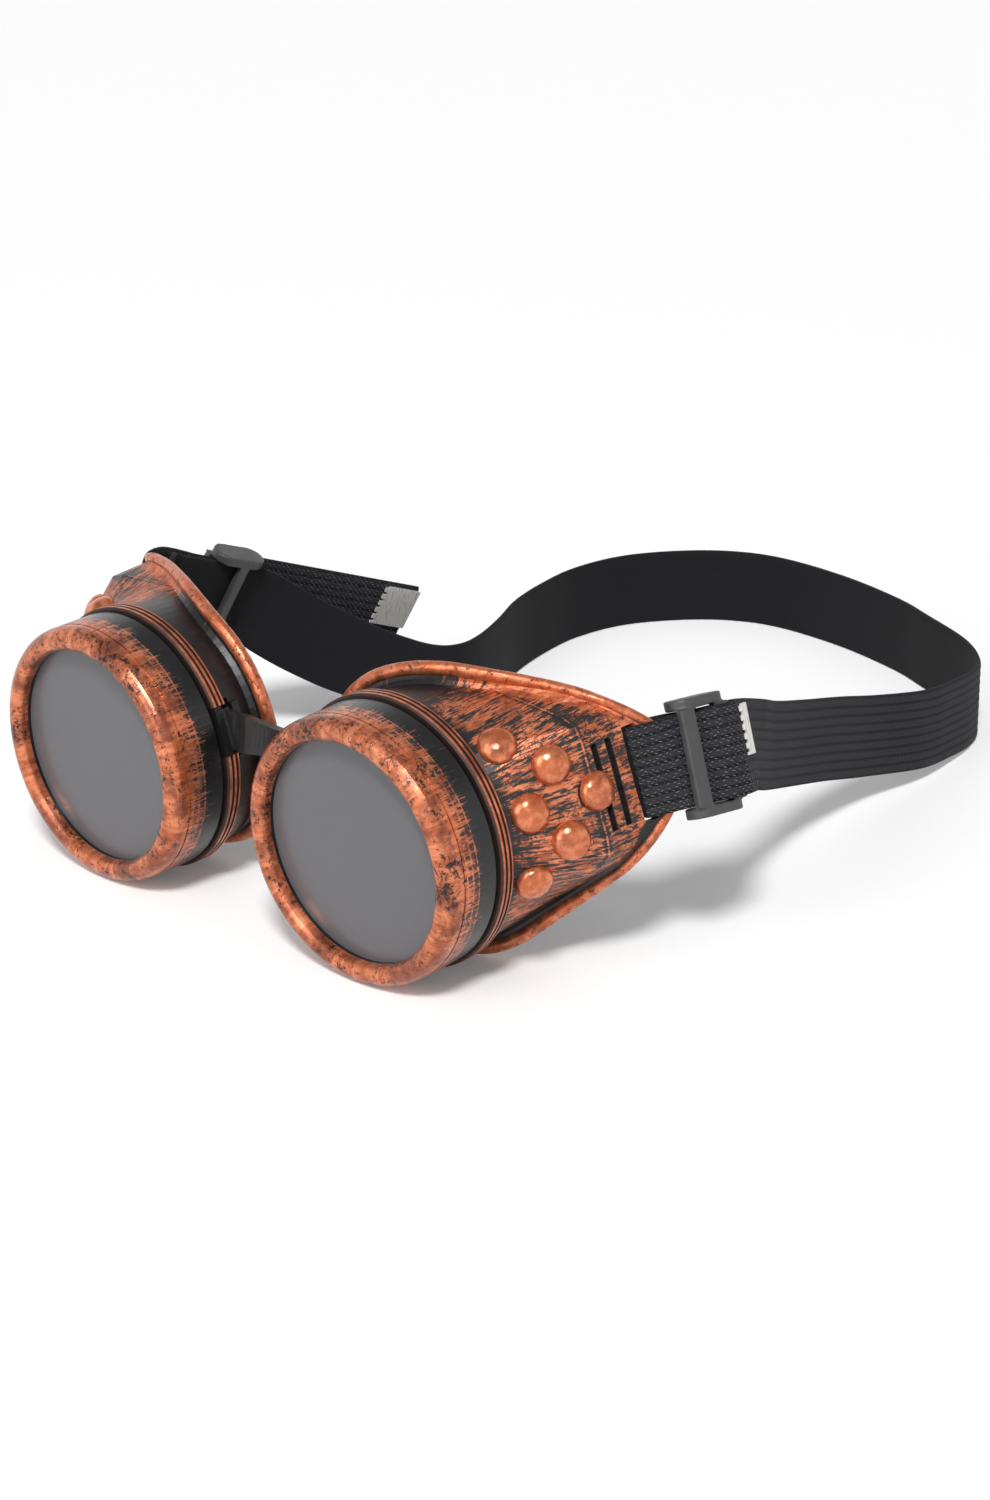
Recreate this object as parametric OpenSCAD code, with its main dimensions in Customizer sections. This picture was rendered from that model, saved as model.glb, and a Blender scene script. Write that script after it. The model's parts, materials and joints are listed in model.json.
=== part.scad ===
// Round-eyed goggles with screw-on lens bezels, side shields and an elastic strap.
// Each cup is drawn in its own frame: X out towards the temple, Y back, Z up,
// with the origin at the middle of the lens front. Y then runs back along the strap.

/* [Layout] */
// Distance between the two lens centres
lens_spacing = 82.5; // [80:0.5:90]
// Outward turn of each cup in degrees
cup_toe = 1.4; // [0.4:0.1:3]
// Forward lean of the cups on a table in degrees
cup_lean = 3.3; // [3:0.1:3.6]
// Turn of each side shield about its lens in degrees, temple side up
shield_rise = 17.5; // [14:0.5:20]

/* [Lens and bezel] */
// Radius of the clear opening in the bezel
opening_r = 25; // [24.2:0.1:25.4]
// Thickness of the dark lens
lens_t = 2; // [1.6:0.1:2.3]
// Thickness of the lens gasket
gasket_t = 0.95; // [0.7:0.05:1.2]
// Width of the bezel ring round the clear opening
bezel_wall = 5; // [4.8:0.1:6]
// How far the bezel's rounded front stands before the lens
bezel_front = 3.9; // [3.6:0.1:4.4]
// Length of the bezel skirt behind the lens front
skirt_len = 10.6; // [10:0.1:11.2]
// Pitch of the bezel's screw thread
thread_pitch = 2; // [1.5:0.1:2.5]
// Thickness of the bezel skirt
skirt_t = 1.7; // [1.5:0.05:1.8]
// Width of the copper collar behind the bezel
collar_w = 3.8; // [3.4:0.1:4.2]
// How far the collar stands above the bezel's radius
collar_step = 0.8; // [0.5:0.1:1.2]

/* [Side shield] */
// Rim radius round the eye
rim_r = 33.3; // [32.8:0.1:34]
// Reach of the rim's temple tip from the lens centre
tip_reach = 46.5; // [45.5:0.1:47.5]
// Roundness of the temple tip
tip_r = 23.4; // [22:0.2:25]
// How far the rim stands behind the collar on the nose side
rim_base = 8.8; // [8:0.1:9.6]
// Extra depth of the rim at the temple
rim_sweep = 21; // [20:0.2:22]
// Extra depth of the rim's last stretch at the strap
tip_sweep = 8; // [7:0.2:9]
// Cut-back of the rim under the nose
nose_relief = 4; // [3.6:0.1:4.4]
// Radius of the rim's rolled edge
bead_r = 1.5; // [1.3:0.05:1.6]
// Radius of the round domes on the shield
dome_r = 4.2; // [3.6:0.1:4.6]
// Height of the round domes
dome_h = 2.6; // [2:0.1:3]
// Length of the two vent slots
vent_len = 19; // [15:0.5:20]
// Width of the two vent slots
vent_w = 1.5; // [1.2:0.1:1.8]

/* [Nose bridge] */
// Radius of the bridge's hinge beads
hinge_r = 2; // [1.7:0.1:2.1]
// Height of the bridge at its ends
bridge_h = 9.4; // [8:0.1:10]
// Height of the bridge at its middle
bridge_mid_h = 7; // [5:0.1:8]
// Thickness of the bridge band
bridge_t = 2; // [1.6:0.1:2.2]
// How far the bridge bows back at its middle
bridge_bow = 2.5; // [1:0.1:3]

/* [Strap] */
// Width of the elastic strap
strap_w = 20; // [18:0.5:20.5]
// Thickness of the elastic strap
strap_t = 1.2; // [1:0.05:1.3]
// How far back the strap's rearmost fold lies
strap_reach = 243; // [225:1:260]
// Half the width of the strap's lie on the table
strap_spread = 78; // [72:1:82]
// Lift of the strap above the table just behind the left slider
strap_lift = 29.5; // [28.5:0.25:30.5]
// Length of the right loose tail behind its slider
tail_len = 52; // [40:1:56]
// Height of the metal end clips
clip_h = 11; // [9:0.5:13]
// Length of the right end clip
clip_len = 10; // [8:0.5:11]
// Length of the left end clip that shows at the slider
left_clip_len = 3.6; // [3:0.1:4]

/* [Strap sliders] */
// Length of each slider along the strap
slider_len = 14; // [13.5:0.1:14.5]
// Height of each slider
slider_h = 25.4; // [25:0.2:28]
// Width of the slider's two outer bars
bar_w = 4; // [3.6:0.1:4.2]
// Thickness of the slider's bars
bar_t = 2; // [1.8:0.1:2.3]
// Distance of the left slider's middle behind the shield tip
left_back = 6.2; // [6.2:0.1:7]
// Distance of the right slider's middle behind the shield tip
right_back = 20.5; // [20:0.2:22]

/* [Hidden] */
run_gap = 0.05;
soft_gap = 0.3;
screw_gap = 0.1;
round_n = 120;
fine_n = 48;
shield_n = 72;

bezel_r = opening_r + bezel_wall;
lens_r = opening_r + 1.8;
recess_r = lens_r + 0.3;
barrel_r = bezel_r - skirt_t - screw_gap;
barrel_wall = 1.6;
seat_r = opening_r - 0.4;
gasket_y = lens_t + run_gap;
barrel_y = gasket_y + gasket_t + run_gap;
lip_y = 2.2;
crest_in = 0.62 * bezel_wall;
edge_r = 0.3;
thread_turns = 3;
thread_depth = 0.25;
collar_y = skirt_len + 0.8;
root_y = collar_y + collar_w;
collar_r = bezel_r + collar_step;
groove = 0.3;

root_r = barrel_r + 1.4;
wall_back = 17.8;
wall_r = barrel_r + 0.6;
wall_tip = tip_reach - 7;
wall_half = 15;
wall_t = 2;
wall_corner = atan2(wall_half, wall_tip);
wall_turn = wall_corner + acos(wall_r / norm([wall_tip, wall_half]));
tip_mid = tip_reach - tip_r;
rim_turn = acos((rim_r - tip_r) / tip_mid);
tip_turn = atan2(tip_r * sin(rim_turn), tip_mid + tip_r * cos(rim_turn));
sweep_span = 105;
tip_span = 30;
relief_at = -125;
relief_span = 50;
tip_y = root_y + rim_base + rim_sweep + tip_sweep;
dome_y = [root_y + 5, root_y + 11.3, root_y + 18.4];
dome_turn = [28, 13];
vent_y = root_y + 20.5;
vent_step = 4;

slot_w = 3;
slot_y = tip_y - 7.9;
slot_half = strap_w / 2 + 0.5;
bar_x = tip_reach - 5.2;

hinge_turn = shield_rise;
hinge_at = barrel_r + 0.2;
hinge_y = collar_y + 3.3;
boss_half = bridge_h / 2 + 0.9;
boss_r0 = barrel_r - barrel_wall - 0.4;
boss_r1 = hinge_at + 2.2;
neck_t = 1.2;
bridge_drop = 0.5;
neck_slot = 3;

layer = strap_t + soft_gap;
bar_n0 = layer + strap_t / 2 + soft_gap;
bar_n1 = bar_n0 + bar_t;
mid_n1 = -strap_t / 2 - soft_gap;
mid_n0 = mid_n1 - bar_t;
mid_bar_w = 2.5;
mid_bar_s = -0.2;
over_n = bar_n1 + soft_gap + strap_t / 2;
clip_t = 0.5;
left_out = 4;
left_drop = 8;
left_roll = -4;
right_out = -15;
right_drop = 18;
right_roll = 0;
left_in = 0.1;
left_low = 1.2;
right_in = 3.5;
right_low = 8;
left_at = [tip_reach - left_in, tip_y + left_back, -left_low];
right_at = [tip_reach - right_in, tip_y + right_back, -right_low];

function unit(v) = v / norm(v);
function turn_x(p, a) = [p[0], p[1] * cos(a) - p[2] * sin(a), p[1] * sin(a) + p[2] * cos(a)];
function turn_y(p, a) = [p[0] * cos(a) + p[2] * sin(a), p[1], p[2] * cos(a) - p[0] * sin(a)];
function turn_z(p, a) = [p[0] * cos(a) - p[1] * sin(a), p[0] * sin(a) + p[1] * cos(a), p[2]];
function squared_cos(a) = pow(cos(a), 2);
function fade(a, span) = abs(a) < span ? squared_cos(a * 90 / span) : 0;
function wrap(a) = a > 180 ? a - 360 : (a < -180 ? a + 360 : a);

// Outline of the rim round the lens axis, and how far back it lies
function tip_edge(a) = tip_mid * cos(a) + sqrt(pow(tip_r, 2) - pow(tip_mid * sin(a), 2));
function rim_plain(a) = a < tip_turn ? tip_edge(a)
    : (a < rim_turn ? rim_r / cos(rim_turn - a) : rim_r);
function rim_out(a) = rim_plain(abs(a)) - nose_relief * fade(wrap(a - relief_at), relief_span);
function rim_back(a) = root_y + rim_base
    + rim_sweep * fade(a, sweep_span) + tip_sweep * fade(a, tip_span);
// Outline where the shield's wall meets its hollow channel
function wall_plain(a) = a < wall_corner ? wall_tip / cos(a)
    : (a < wall_turn ? wall_r / cos(wall_turn - a) : wall_r);
function wall_out(a) = wall_plain(abs(a));
function wall_end(a) = min(root_y + wall_back, rim_back(a) - 2);
// Closed section of the shield at one angle, as distance out and distance back
function section(a) = let (r = rim_out(a), y = rim_back(a), k = bead_r,
    rw = min(wall_out(a), r - 1.6 * k), yw = wall_end(a), dr = r - rw, dy = y - yw,
    neck = [min(rw + 0.55 * dr, r - 1.2 * k), min(yw + 0.85 * dy, y - 0.35 * k)])
    [[root_r, root_y], [(root_r + rw) / 2, (root_y + yw) / 2], [rw, yw],
     [rw + 0.18 * dr, yw + 0.55 * dy], neck,
     [r - 0.9 * k, y - 0.8 * k], [r - 0.3 * k, y - 0.7 * k], [r, y],
     [r - 0.3 * k, y + 0.7 * k], [r - k, y + k],
     [r - 2 * k, y + 0.5 * k], neck + [-0.9 * wall_t, 0.8],
     [rw + 0.18 * dr - wall_t, yw + 0.55 * dy + 0.3],
     [rw - wall_t, yw], [barrel_r - wall_t, root_y]];
function polar(q, a) = [q[0] * cos(a), q[1], q[0] * sin(a)];
// A point on the shield's outer wall, and the way it faces
function skin(a, y) = let (yw = wall_end(a), rw = wall_out(a), f = (y - root_y) / (yw - root_y),
    g = (y - yw) / (0.55 * (rim_back(a) - yw)))
    polar([y < yw ? root_r + (rw - root_r) * f : rw + 0.18 * (rim_out(a) - rw) * g, y], a);
function facing(a, y) =
    unit(cross(skin(a, y + 0.5) - skin(a, y - 0.5), skin(a + 0.5, y) - skin(a - 0.5, y)));

// Height of the lens centres above the table
function low_point(r, y, a) = turn_x(turn_y(polar([r, y], a), -shield_rise), cup_lean)[2];
rim_low = min([for (a = [-175 : 2.5 : -5]) low_point(rim_out(a), rim_back(a), a)]);
bezel_low = -bezel_r * cos(cup_lean) - (bezel_front - 2) * sin(cup_lean);
collar_low = -collar_r * cos(cup_lean) + collar_y * sin(cup_lean);
centre_h = -min(rim_low, bezel_low, collar_low);

function from_cup(side, p) =
    let (q = turn_z(turn_x(p, cup_lean), cup_toe) + [lens_spacing / 2, 0, centre_h])
    [side * q[0], q[1], q[2]];
function from_shield(side, p) = from_cup(side, turn_y(p, -shield_rise));
function run_at(side) = side > 0 ? left_at : right_at;
function run_out(side) = side > 0 ? left_out : right_out;
function run_drop(side) = side > 0 ? left_drop : right_drop;
function run_roll(side) = side > 0 ? left_roll : right_roll;
function on_run(side, p) =
    turn_z(turn_x(turn_y(p, run_roll(side)), -run_drop(side)), -run_out(side)) + run_at(side);
function from_run(side, p) = from_shield(side, on_run(side, p));

module in_cup(side) {
    translate(-middle)
        mirror([side > 0 ? 0 : 1, 0, 0])
            translate([lens_spacing / 2, 0, centre_h])
                rotate([cup_lean, 0, cup_toe])
                    children();
}
module in_shield(side) {
    in_cup(side)
        rotate([0, -shield_rise, 0])
            children();
}
module in_run(side) {
    in_shield(side)
        translate(run_at(side))
            rotate([-run_drop(side), 0, -run_out(side)])
                rotate([0, run_roll(side), 0])
                    children();
}
// A round piece about the lens axis, drawn as distance out and distance back
module spun(points, n = round_n) {
    rotate([90, 0, 0])
        rotate_extrude($fn = n)
            polygon([for (q = points) [q[0], -q[1]]]);
}

// How the loose strap lies on the table, left side first, as shares of its spread and reach
lie_z = strap_w / 2 + run_gap;
function lie(x, y, up = 0) = [x * strap_spread, y * strap_reach, lie_z + up * strap_lift];
lie_left = [lie(1, 0.358, 1), lie(0.923, 0.407, 0.83), lie(0.84, 0.477, 0.636), lie(0.776, 0.556, 0.449),
    lie(0.737, 0.63, 0.28), lie(0.731, 0.72, 0.134), lie(0.695, 0.784, 0.066)];
lie_back = [lie(0.651, 0.835, 0.018), lie(0.583, 0.875), lie(0.436, 0.914), lie(0.197, 0.95),
    lie(0.024, 0.973), lie(-0.256, 0.994), lie(-0.538, 0.998), lie(-0.718, 0.979),
    lie(-0.859, 0.938), lie(-0.962, 0.881), lie(-0.991, 0.815), lie(-0.962, 0.753),
    lie(-0.897, 0.685), lie(-0.801, 0.624), lie(-0.733, 0.572), lie(-0.718, 0.537)];
lie_right = [lie(-0.756, 0.508, 0.025), lie(-0.84, 0.479, 0.117), lie(-0.929, 0.444, 0.28),
    lie(-0.981, 0.395, 0.54), lie(-1.015, 0.362, 0.744)];

// The strap's inner layer, from inside the slot to the straight stretch
hook = [[bar_x - 0.7, slot_y, 0], [bar_x - 1.6, slot_y + 0.15, 0], [bar_x - 2.35, slot_y + 1.1, 0],
    [bar_x - 2.3, slot_y + 2.6, 0]];
left_hook = concat(hook, [[tip_reach - 5.95, tip_y - 1.7, -0.15], [tip_reach - 3.85, tip_y + 1.55, -0.5],
    [tip_reach - 2.3, tip_y + 3.3, -0.8], [tip_reach - 0.5, tip_y + 5.3, -1.05]]);
right_hook = concat(hook, [[tip_reach - 5.95, tip_y - 1.7, 0], [tip_reach - 3.85, tip_y + 1.55, 0],
    [tip_reach - 2.4, tip_y + 3.4, -1.8]]);
left_line = [for (s = [1.5 : 5.5 : 13]) [0, s, 0]];
right_line = [for (s = [-12.5 : 4.2 : 9]) [0, s, 0]];
hook_ease = 3;
function shield_up(side) = from_shield(side, [0, 0, 1]) - from_shield(side, [0, 0, 0]);
function run_up(side) = from_run(side, [0, 0, 1]) - from_run(side, [0, 0, 0]);
// Width direction of a hook point, turning from the shield's to the slider's as it comes back
function hook_up(side, p) = let (f = side > 0 ? max(0, min(1, (p[1] - tip_y) / hook_ease + 1)) : 0)
    unit((1 - f) * shield_up(side) + f * run_up(side));

band_keys = concat(
    [for (p = left_hook) [from_shield(1, p), hook_up(1, p)]],
    [for (p = left_line) [from_run(1, p), run_up(1)]],
    [for (p = lie_left) [p, [0, 0, 1]]],
    [for (p = lie_back) [p, [0, 0, 1]]],
    [for (p = lie_right) [p, [0, 0, 1]]],
    [for (i = [len(right_line) - 1 : -1 : 0]) [from_run(-1, right_line[i]), run_up(-1)]],
    [for (i = [len(right_hook) - 1 : -1 : 0]) [from_shield(-1, right_hook[i]), hook_up(-1, right_hook[i])]]);
band_steps = 3;
function catmull(a, b, c, d, t) = 0.5 * (2 * b + (c - a) * t + (2 * a - 5 * b + 4 * c - d) * t * t
    + (3 * b - a - 3 * c + d) * t * t * t);
function smooth(keys, steps) = let (n = len(keys)) [for (i = [0 : n - 2], k = [0 : steps - 1])
    let (a = keys[max(i - 1, 0)], b = keys[i], c = keys[i + 1], d = keys[min(i + 2, n - 1)], t = k / steps)
    [catmull(a[0], b[0], c[0], d[0], t), unit(b[1] * (1 - t) + c[1] * t)], keys[n - 1]];
band_path = smooth(band_keys, band_steps);
band_line = [for (q = band_path) q[0]];

// Corners that decide the width, and points that decide the depth
run_corners = [for (side = [1, -1], n = [mid_n0, over_n + strap_t / 2],
    s = [-slider_len / 2, slider_len / 2], w = [-slider_h / 2, slider_h / 2]) from_run(side, [n, s, w])];
width_hi = max([for (p = run_corners) p[0]]);
width_lo = min([for (p = run_corners) p[0]]);
crest_r = bezel_r - crest_in;
front_y = min([for (a = [0 : 10 : 350])
    from_cup(1, [crest_r * cos(a), -bezel_front, crest_r * sin(a)])[1]]);
back_y = max([for (p = band_line) p[1]]) + strap_t / 2;
middle = [(width_hi + width_lo) / 2, (front_y + back_y) / 2, 0];

// A flat band swept along a path of [point, direction of its width, width, thickness]
module swept(path) {
    n = len(path);
    way = [for (i = [0 : n - 1]) unit(path[min(i + 1, n - 1)][0] - path[max(i - 1, 0)][0])];
    up = [for (i = [0 : n - 1]) unit(path[i][1] - (path[i][1] * way[i]) * way[i])];
    out = [for (i = [0 : n - 1]) cross(way[i], up[i])];
    points = [for (i = [0 : n - 1], c = [[-1, -1], [1, -1], [1, 1], [-1, 1]])
        path[i][0] + c[0] * up[i] * path[i][2] / 2 + c[1] * out[i] * path[i][3] / 2];
    faces = concat([[0, 1, 2, 3]],
        [for (i = [0 : n - 2], j = [0 : 3]) let (k = (j + 1) % 4) [4 * i + j, 4 * i + 4 + j, 4 * i + k]],
        [for (i = [0 : n - 2], j = [0 : 3]) let (k = (j + 1) % 4) [4 * i + k, 4 * i + 4 + j, 4 * i + 4 + k]],
        [[4 * n - 1, 4 * n - 2, 4 * n - 3, 4 * n - 4]]);
    translate(-middle)
        polyhedron(points, faces);
}
module strap_along(path) {
    swept([for (q = path) [q[0], q[1], strap_w, strap_t]]);
}

module shield_shell() {
    rings = [for (i = [0 : shield_n - 1]) section(wrap(i * 360 / shield_n))];
    m = len(rings[0]);
    points = [for (i = [0 : shield_n - 1], q = rings[i]) polar(q, i * 360 / shield_n)];
    faces = [for (i = [0 : shield_n - 1], j = [0 : m - 1], half = [0, 1])
        let (a = i * m + j, b = i * m + (j + 1) % m, c = ((i + 1) % shield_n) * m + j,
             d = ((i + 1) % shield_n) * m + (j + 1) % m)
        half == 0 ? [a, c, b] : [b, c, d]];
    polyhedron(points, faces);
}
module dome(a, y) {
    f = facing(a, y);
    translate(skin(a, y))
        rotate([0, acos(f[2]), atan2(f[1], f[0])])
            rotate_extrude($fn = fine_n)
                polygon(concat([[0, -1.2], [dome_r, -1.2]],
                    [for (t = [0 : 15 : 90]) [dome_r * cos(t), dome_h * sin(t)]]));
}
module hinge_frame() {
    rotate([0, hinge_turn, 0])
        translate([-hinge_at, hinge_y, 0])
            children();
}
module eye_cup(side) {
    color([0.62, 0.3, 0.18])
    in_cup(side)
    difference() {
        union() {
            spun([[barrel_r, barrel_y], [barrel_r, root_y + 1.8], [barrel_r - barrel_wall, root_y + 1.8],
                [barrel_r - barrel_wall, barrel_y + 2], [seat_r, barrel_y + 2], [seat_r, barrel_y]]);
            rotate([0, -shield_rise, 0]) {
                shield_shell();
                for (w = [-1, 1]) {
                    dome(w * dome_turn[0], dome_y[0]);
                    dome(w * dome_turn[1], dome_y[1]);
                }
                dome(0, dome_y[0]);
                dome(0, dome_y[2]);
            }
            rotate([0, hinge_turn, 0])
                translate([-boss_r1, collar_y, -boss_half])
                    cube([boss_r1 - boss_r0, hinge_y + hinge_r + 1.3 - collar_y, 2 * boss_half]);
        }
        rotate([0, -shield_rise, 0]) {
            for (y = [vent_y, vent_y + vent_step])
                translate([wall_tip - 3, y - vent_w / 2, -vent_len / 2])
                    cube([8, vent_w, vent_len]);
            translate([wall_tip - 5, slot_y - slot_w / 2, -slot_half])
                cube([10, slot_w, 2 * slot_half]);
        }
        for (k = [1 : thread_turns])
            spun([[barrel_r - thread_depth, barrel_y + (k - 0.2) * thread_pitch],
                [barrel_r + 1, barrel_y + (k - 0.2) * thread_pitch],
                [barrel_r + 1, barrel_y + (k + 0.2) * thread_pitch],
                [barrel_r - thread_depth, barrel_y + (k + 0.2) * thread_pitch]]);
        hinge_frame() {
            cylinder(r = hinge_r + run_gap, h = 2 * boss_half + 2, center = true, $fn = fine_n);
            translate([-6, -neck_slot / 2, -boss_half - 1])
                cube([6, neck_slot, 2 * boss_half + 2]);
        }
    }
}
module collar_ring(side) {
    color([0.72, 0.36, 0.2])
    in_cup(side)
    difference() {
        spun([[barrel_r + run_gap, collar_y], [collar_r - 0.5, collar_y], [collar_r, collar_y + 0.5],
            [collar_r, root_y - run_gap - 0.5], [collar_r - 0.5, root_y - run_gap],
            [barrel_r + run_gap, root_y - run_gap]]);
        for (y = [collar_y + collar_w / 3, collar_y + 2 * collar_w / 3])
            spun([[collar_r - groove, y - 0.2], [collar_r + 1, y - 0.2], [collar_r + 1, y + 0.2],
                [collar_r - groove, y + 0.2]]);
        rotate([0, hinge_turn, 0])
            translate([-collar_r - 1, collar_y - 1, -boss_half - run_gap])
                cube([8, collar_w + 2, 2 * (boss_half + run_gap)]);
    }
}
module bezel_ring(side) {
    bulge = bezel_front - edge_r;
    color([0.78, 0.4, 0.22])
    in_cup(side)
    difference() {
        spun(concat([[opening_r, -run_gap], [recess_r, -run_gap], [recess_r, barrel_y - run_gap],
            [barrel_r + screw_gap, barrel_y - run_gap], [barrel_r + screw_gap, skirt_len],
            [bezel_r - 0.4, skirt_len], [bezel_r, skirt_len - 0.4]],
            [for (t = [0 : 10 : 90]) [crest_r + crest_in * cos(t), -edge_r - bulge * sin(t)]],
            [for (t = [15 : 15 : 90])
                [crest_r - (crest_r - opening_r) * sin(t), -lip_y - (bezel_front - lip_y) * cos(t)]]));
        spun([[bezel_r - groove, 0.6], [bezel_r + 1, 0.6], [bezel_r + 1, 1], [bezel_r - groove, 1]]);
    }
}
module dark_lens(side) {
    color([0.36, 0.37, 0.39])
    in_cup(side)
    rotate([-90, 0, 0])
        cylinder(r = lens_r, h = lens_t, $fn = round_n);
}
module lens_gasket(side) {
    color([0.08, 0.08, 0.08])
    in_cup(side)
    spun([[seat_r + 0.3, gasket_y], [lens_r + 0.1, gasket_y], [lens_r + 0.1, gasket_y + gasket_t],
        [seat_r + 0.3, gasket_y + gasket_t]]);
}
module nose_bridge() {
    stations = 24;
    start = from_cup(1, turn_y([-hinge_at, hinge_y, 0], hinge_turn));
    last = from_cup(-1, turn_y([-hinge_at, hinge_y, 0], hinge_turn));
    lean = from_cup(1, turn_y([0, 0, 1], hinge_turn)) - from_cup(1, [0, 0, 0]);
    step_t = (neck_t + bridge_t) / 2;
    color([0.07, 0.07, 0.07]) {
        swept([for (i = [0 : stations])
            let (f = i / stations, g = pow(sin(180 * f), 2), m = 1 - 2 * f, from_end = min(f, 1 - f))
            [start * (1 - f) + last * f + [0, bridge_bow * g, -bridge_drop * g],
             unit([m * lean[0], m * m * lean[1], lean[2]]),
             bridge_h + (bridge_mid_h - bridge_h) * g,
             from_end < 0.13 ? neck_t : (from_end < 0.18 ? step_t : bridge_t)]]);
        for (side = [1, -1])
            in_cup(side)
                hinge_frame()
                    cylinder(r = hinge_r, h = bridge_h, center = true, $fn = fine_n);
    }
}
module strap_slider(side) {
    end_h = (slider_h - strap_w) / 2 - 0.4;
    depth = bar_n1 - mid_n0;
    color([0.06, 0.06, 0.06])
    in_run(side) {
        for (w = [-1, 1])
            translate([mid_n0, 0, w > 0 ? slider_h / 2 - end_h : -slider_h / 2])
                linear_extrude(end_h) {
                    translate([0, -slider_len / 2 + depth / 2])
                        square([depth, slider_len - depth]);
                    for (y = [-1, 1])
                        translate([depth / 2, y * (slider_len - depth) / 2])
                            circle(r = depth / 2, $fn = fine_n);
                }
        for (y = [-1, 1])
            translate([bar_n0, y > 0 ? slider_len / 2 - bar_w : -slider_len / 2, -strap_w / 2 - 0.5])
                cube([bar_t, bar_w, strap_w + 1]);
        translate([mid_n0, mid_bar_s, -strap_w / 2 - 0.5])
            cube([bar_t, mid_bar_w, strap_w + 1]);
    }
}

// Middle line of a tail as [out, back], from the slider's front to its end clip
function tail_start() = let (g = slider_len / 2 - bar_w)
    [[layer, -slider_len / 2 + 0.6], [layer, -g + 0.6], [layer + 0.75, -g + 2], [over_n - 1.3, g - 2.1],
     [over_n - 0.4, g - 0.8], [over_n, g + 0.5], [over_n, slider_len / 2 - 0.6]];
left_tail = concat(tail_start(), [[over_n - 0.25, slider_len / 2 + 0.5],
    [over_n - 2.3, slider_len / 2 + 4.3]]);
right_tail = concat(tail_start(), [for (k = [1 : 6]) let (s = tail_len * k / 6)
    [over_n - 0.04 * s, slider_len / 2 + s]]);
function tail_of(side) = side > 0 ? left_tail : right_tail;
function ribbon(line, half) = let (n = len(line),
    way = [for (i = [0 : n - 1]) unit(line[min(i + 1, n - 1)] - line[max(i - 1, 0)])],
    bend = [for (i = [0 : n - 1]) i == 0 || i == n - 1 ? 1
        : max(0.7, sqrt((1 + unit(line[i + 1] - line[i]) * unit(line[i] - line[i - 1])) / 2))])
    concat([for (i = [0 : n - 1]) line[i] + half / bend[i] * [way[i][1], -way[i][0]]],
        [for (i = [n - 1 : -1 : 0]) line[i] - half / bend[i] * [way[i][1], -way[i][0]]]);

module strap_tail(side) {
    color([0.09, 0.09, 0.09])
    in_run(side)
        translate([0, 0, -strap_w / 2])
            linear_extrude(strap_w)
                polygon(ribbon(tail_of(side), strap_t / 2));
}
module strap_clip(side) {
    line = tail_of(side);
    n = len(line);
    tip = line[n - 1];
    way = unit(tip - line[n - 2]);
    gap = strap_t / 2 + run_gap;
    long = side > 0 ? left_clip_len : clip_len;
    color([0.75, 0.75, 0.75])
    in_run(side)
        translate([tip[0], tip[1], strap_w / 2 - clip_h - 1])
            rotate([0, 0, -atan2(way[0], way[1])])
                difference() {
                    translate([-gap - clip_t, -long, 0])
                        cube([2 * (gap + clip_t), long + run_gap + clip_t, clip_h]);
                    translate([-gap, -long - 1, -1])
                        cube([2 * gap, long + 1 + run_gap, clip_h + 2]);
                    for (z = [1 : 2 : clip_h])
                        translate([-gap - clip_t - 1, -long - 1, z - 0.4])
                            cube([2 * (gap + clip_t) + 2, 1.9, 0.8]);
                }
}
// The outer layer, from the slot over the shield's tip to the slider
loop_out = [[bar_x - 0.3, slot_y, 0], [bar_x + 0.6, slot_y + 0.15, 0], [bar_x + 2, slot_y + 1.5, 0]];
left_loop = concat(loop_out, [[tip_reach - 0.6, tip_y - 3.7, 0]]);
right_loop = concat(loop_out, [[tip_reach + 0.1, tip_y - 2.5, 0], [tip_reach + 1.4, tip_y + 0.3, -0.5],
    [tip_reach + 2.1, tip_y + 4, -1.9], [tip_reach + 1.6, tip_y + 8.5, -3.7]]);
module strap_loop(side) {
    start = side > 0 ? left_loop : right_loop;
    keys = concat([for (p = start) [from_shield(side, p), hook_up(side, p)]],
        [for (s = [1.6, 0.3]) [from_run(side, [layer, -slider_len / 2 - s, 0]), run_up(side)]]);
    color([0.09, 0.09, 0.09])
    strap_along(smooth(keys, band_steps));
}
module strap_band() {
    color([0.09, 0.09, 0.09])
    strap_along(band_path);
}

nose_bridge();
strap_band();
eye_cup(1);  // eye_cup_left
eye_cup(-1);  // eye_cup_right
collar_ring(1);  // collar_ring_left
collar_ring(-1);  // collar_ring_right
bezel_ring(1);  // bezel_ring_left
bezel_ring(-1);  // bezel_ring_right
dark_lens(1);  // dark_lens_left
dark_lens(-1);  // dark_lens_right
lens_gasket(1);  // lens_gasket_left
lens_gasket(-1);  // lens_gasket_right
strap_slider(1);  // strap_slider_left
strap_slider(-1);  // strap_slider_right
strap_loop(1);  // strap_loop_left
strap_loop(-1);  // strap_loop_right
strap_tail(1);  // strap_tail_left
strap_tail(-1);  // strap_tail_right
strap_clip(1);  // strap_clip_left
strap_clip(-1);  // strap_clip_right
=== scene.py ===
"""Round-eyed goggles in antique copper over black plastic, with a black elastic strap."""

import json
import math

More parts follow.
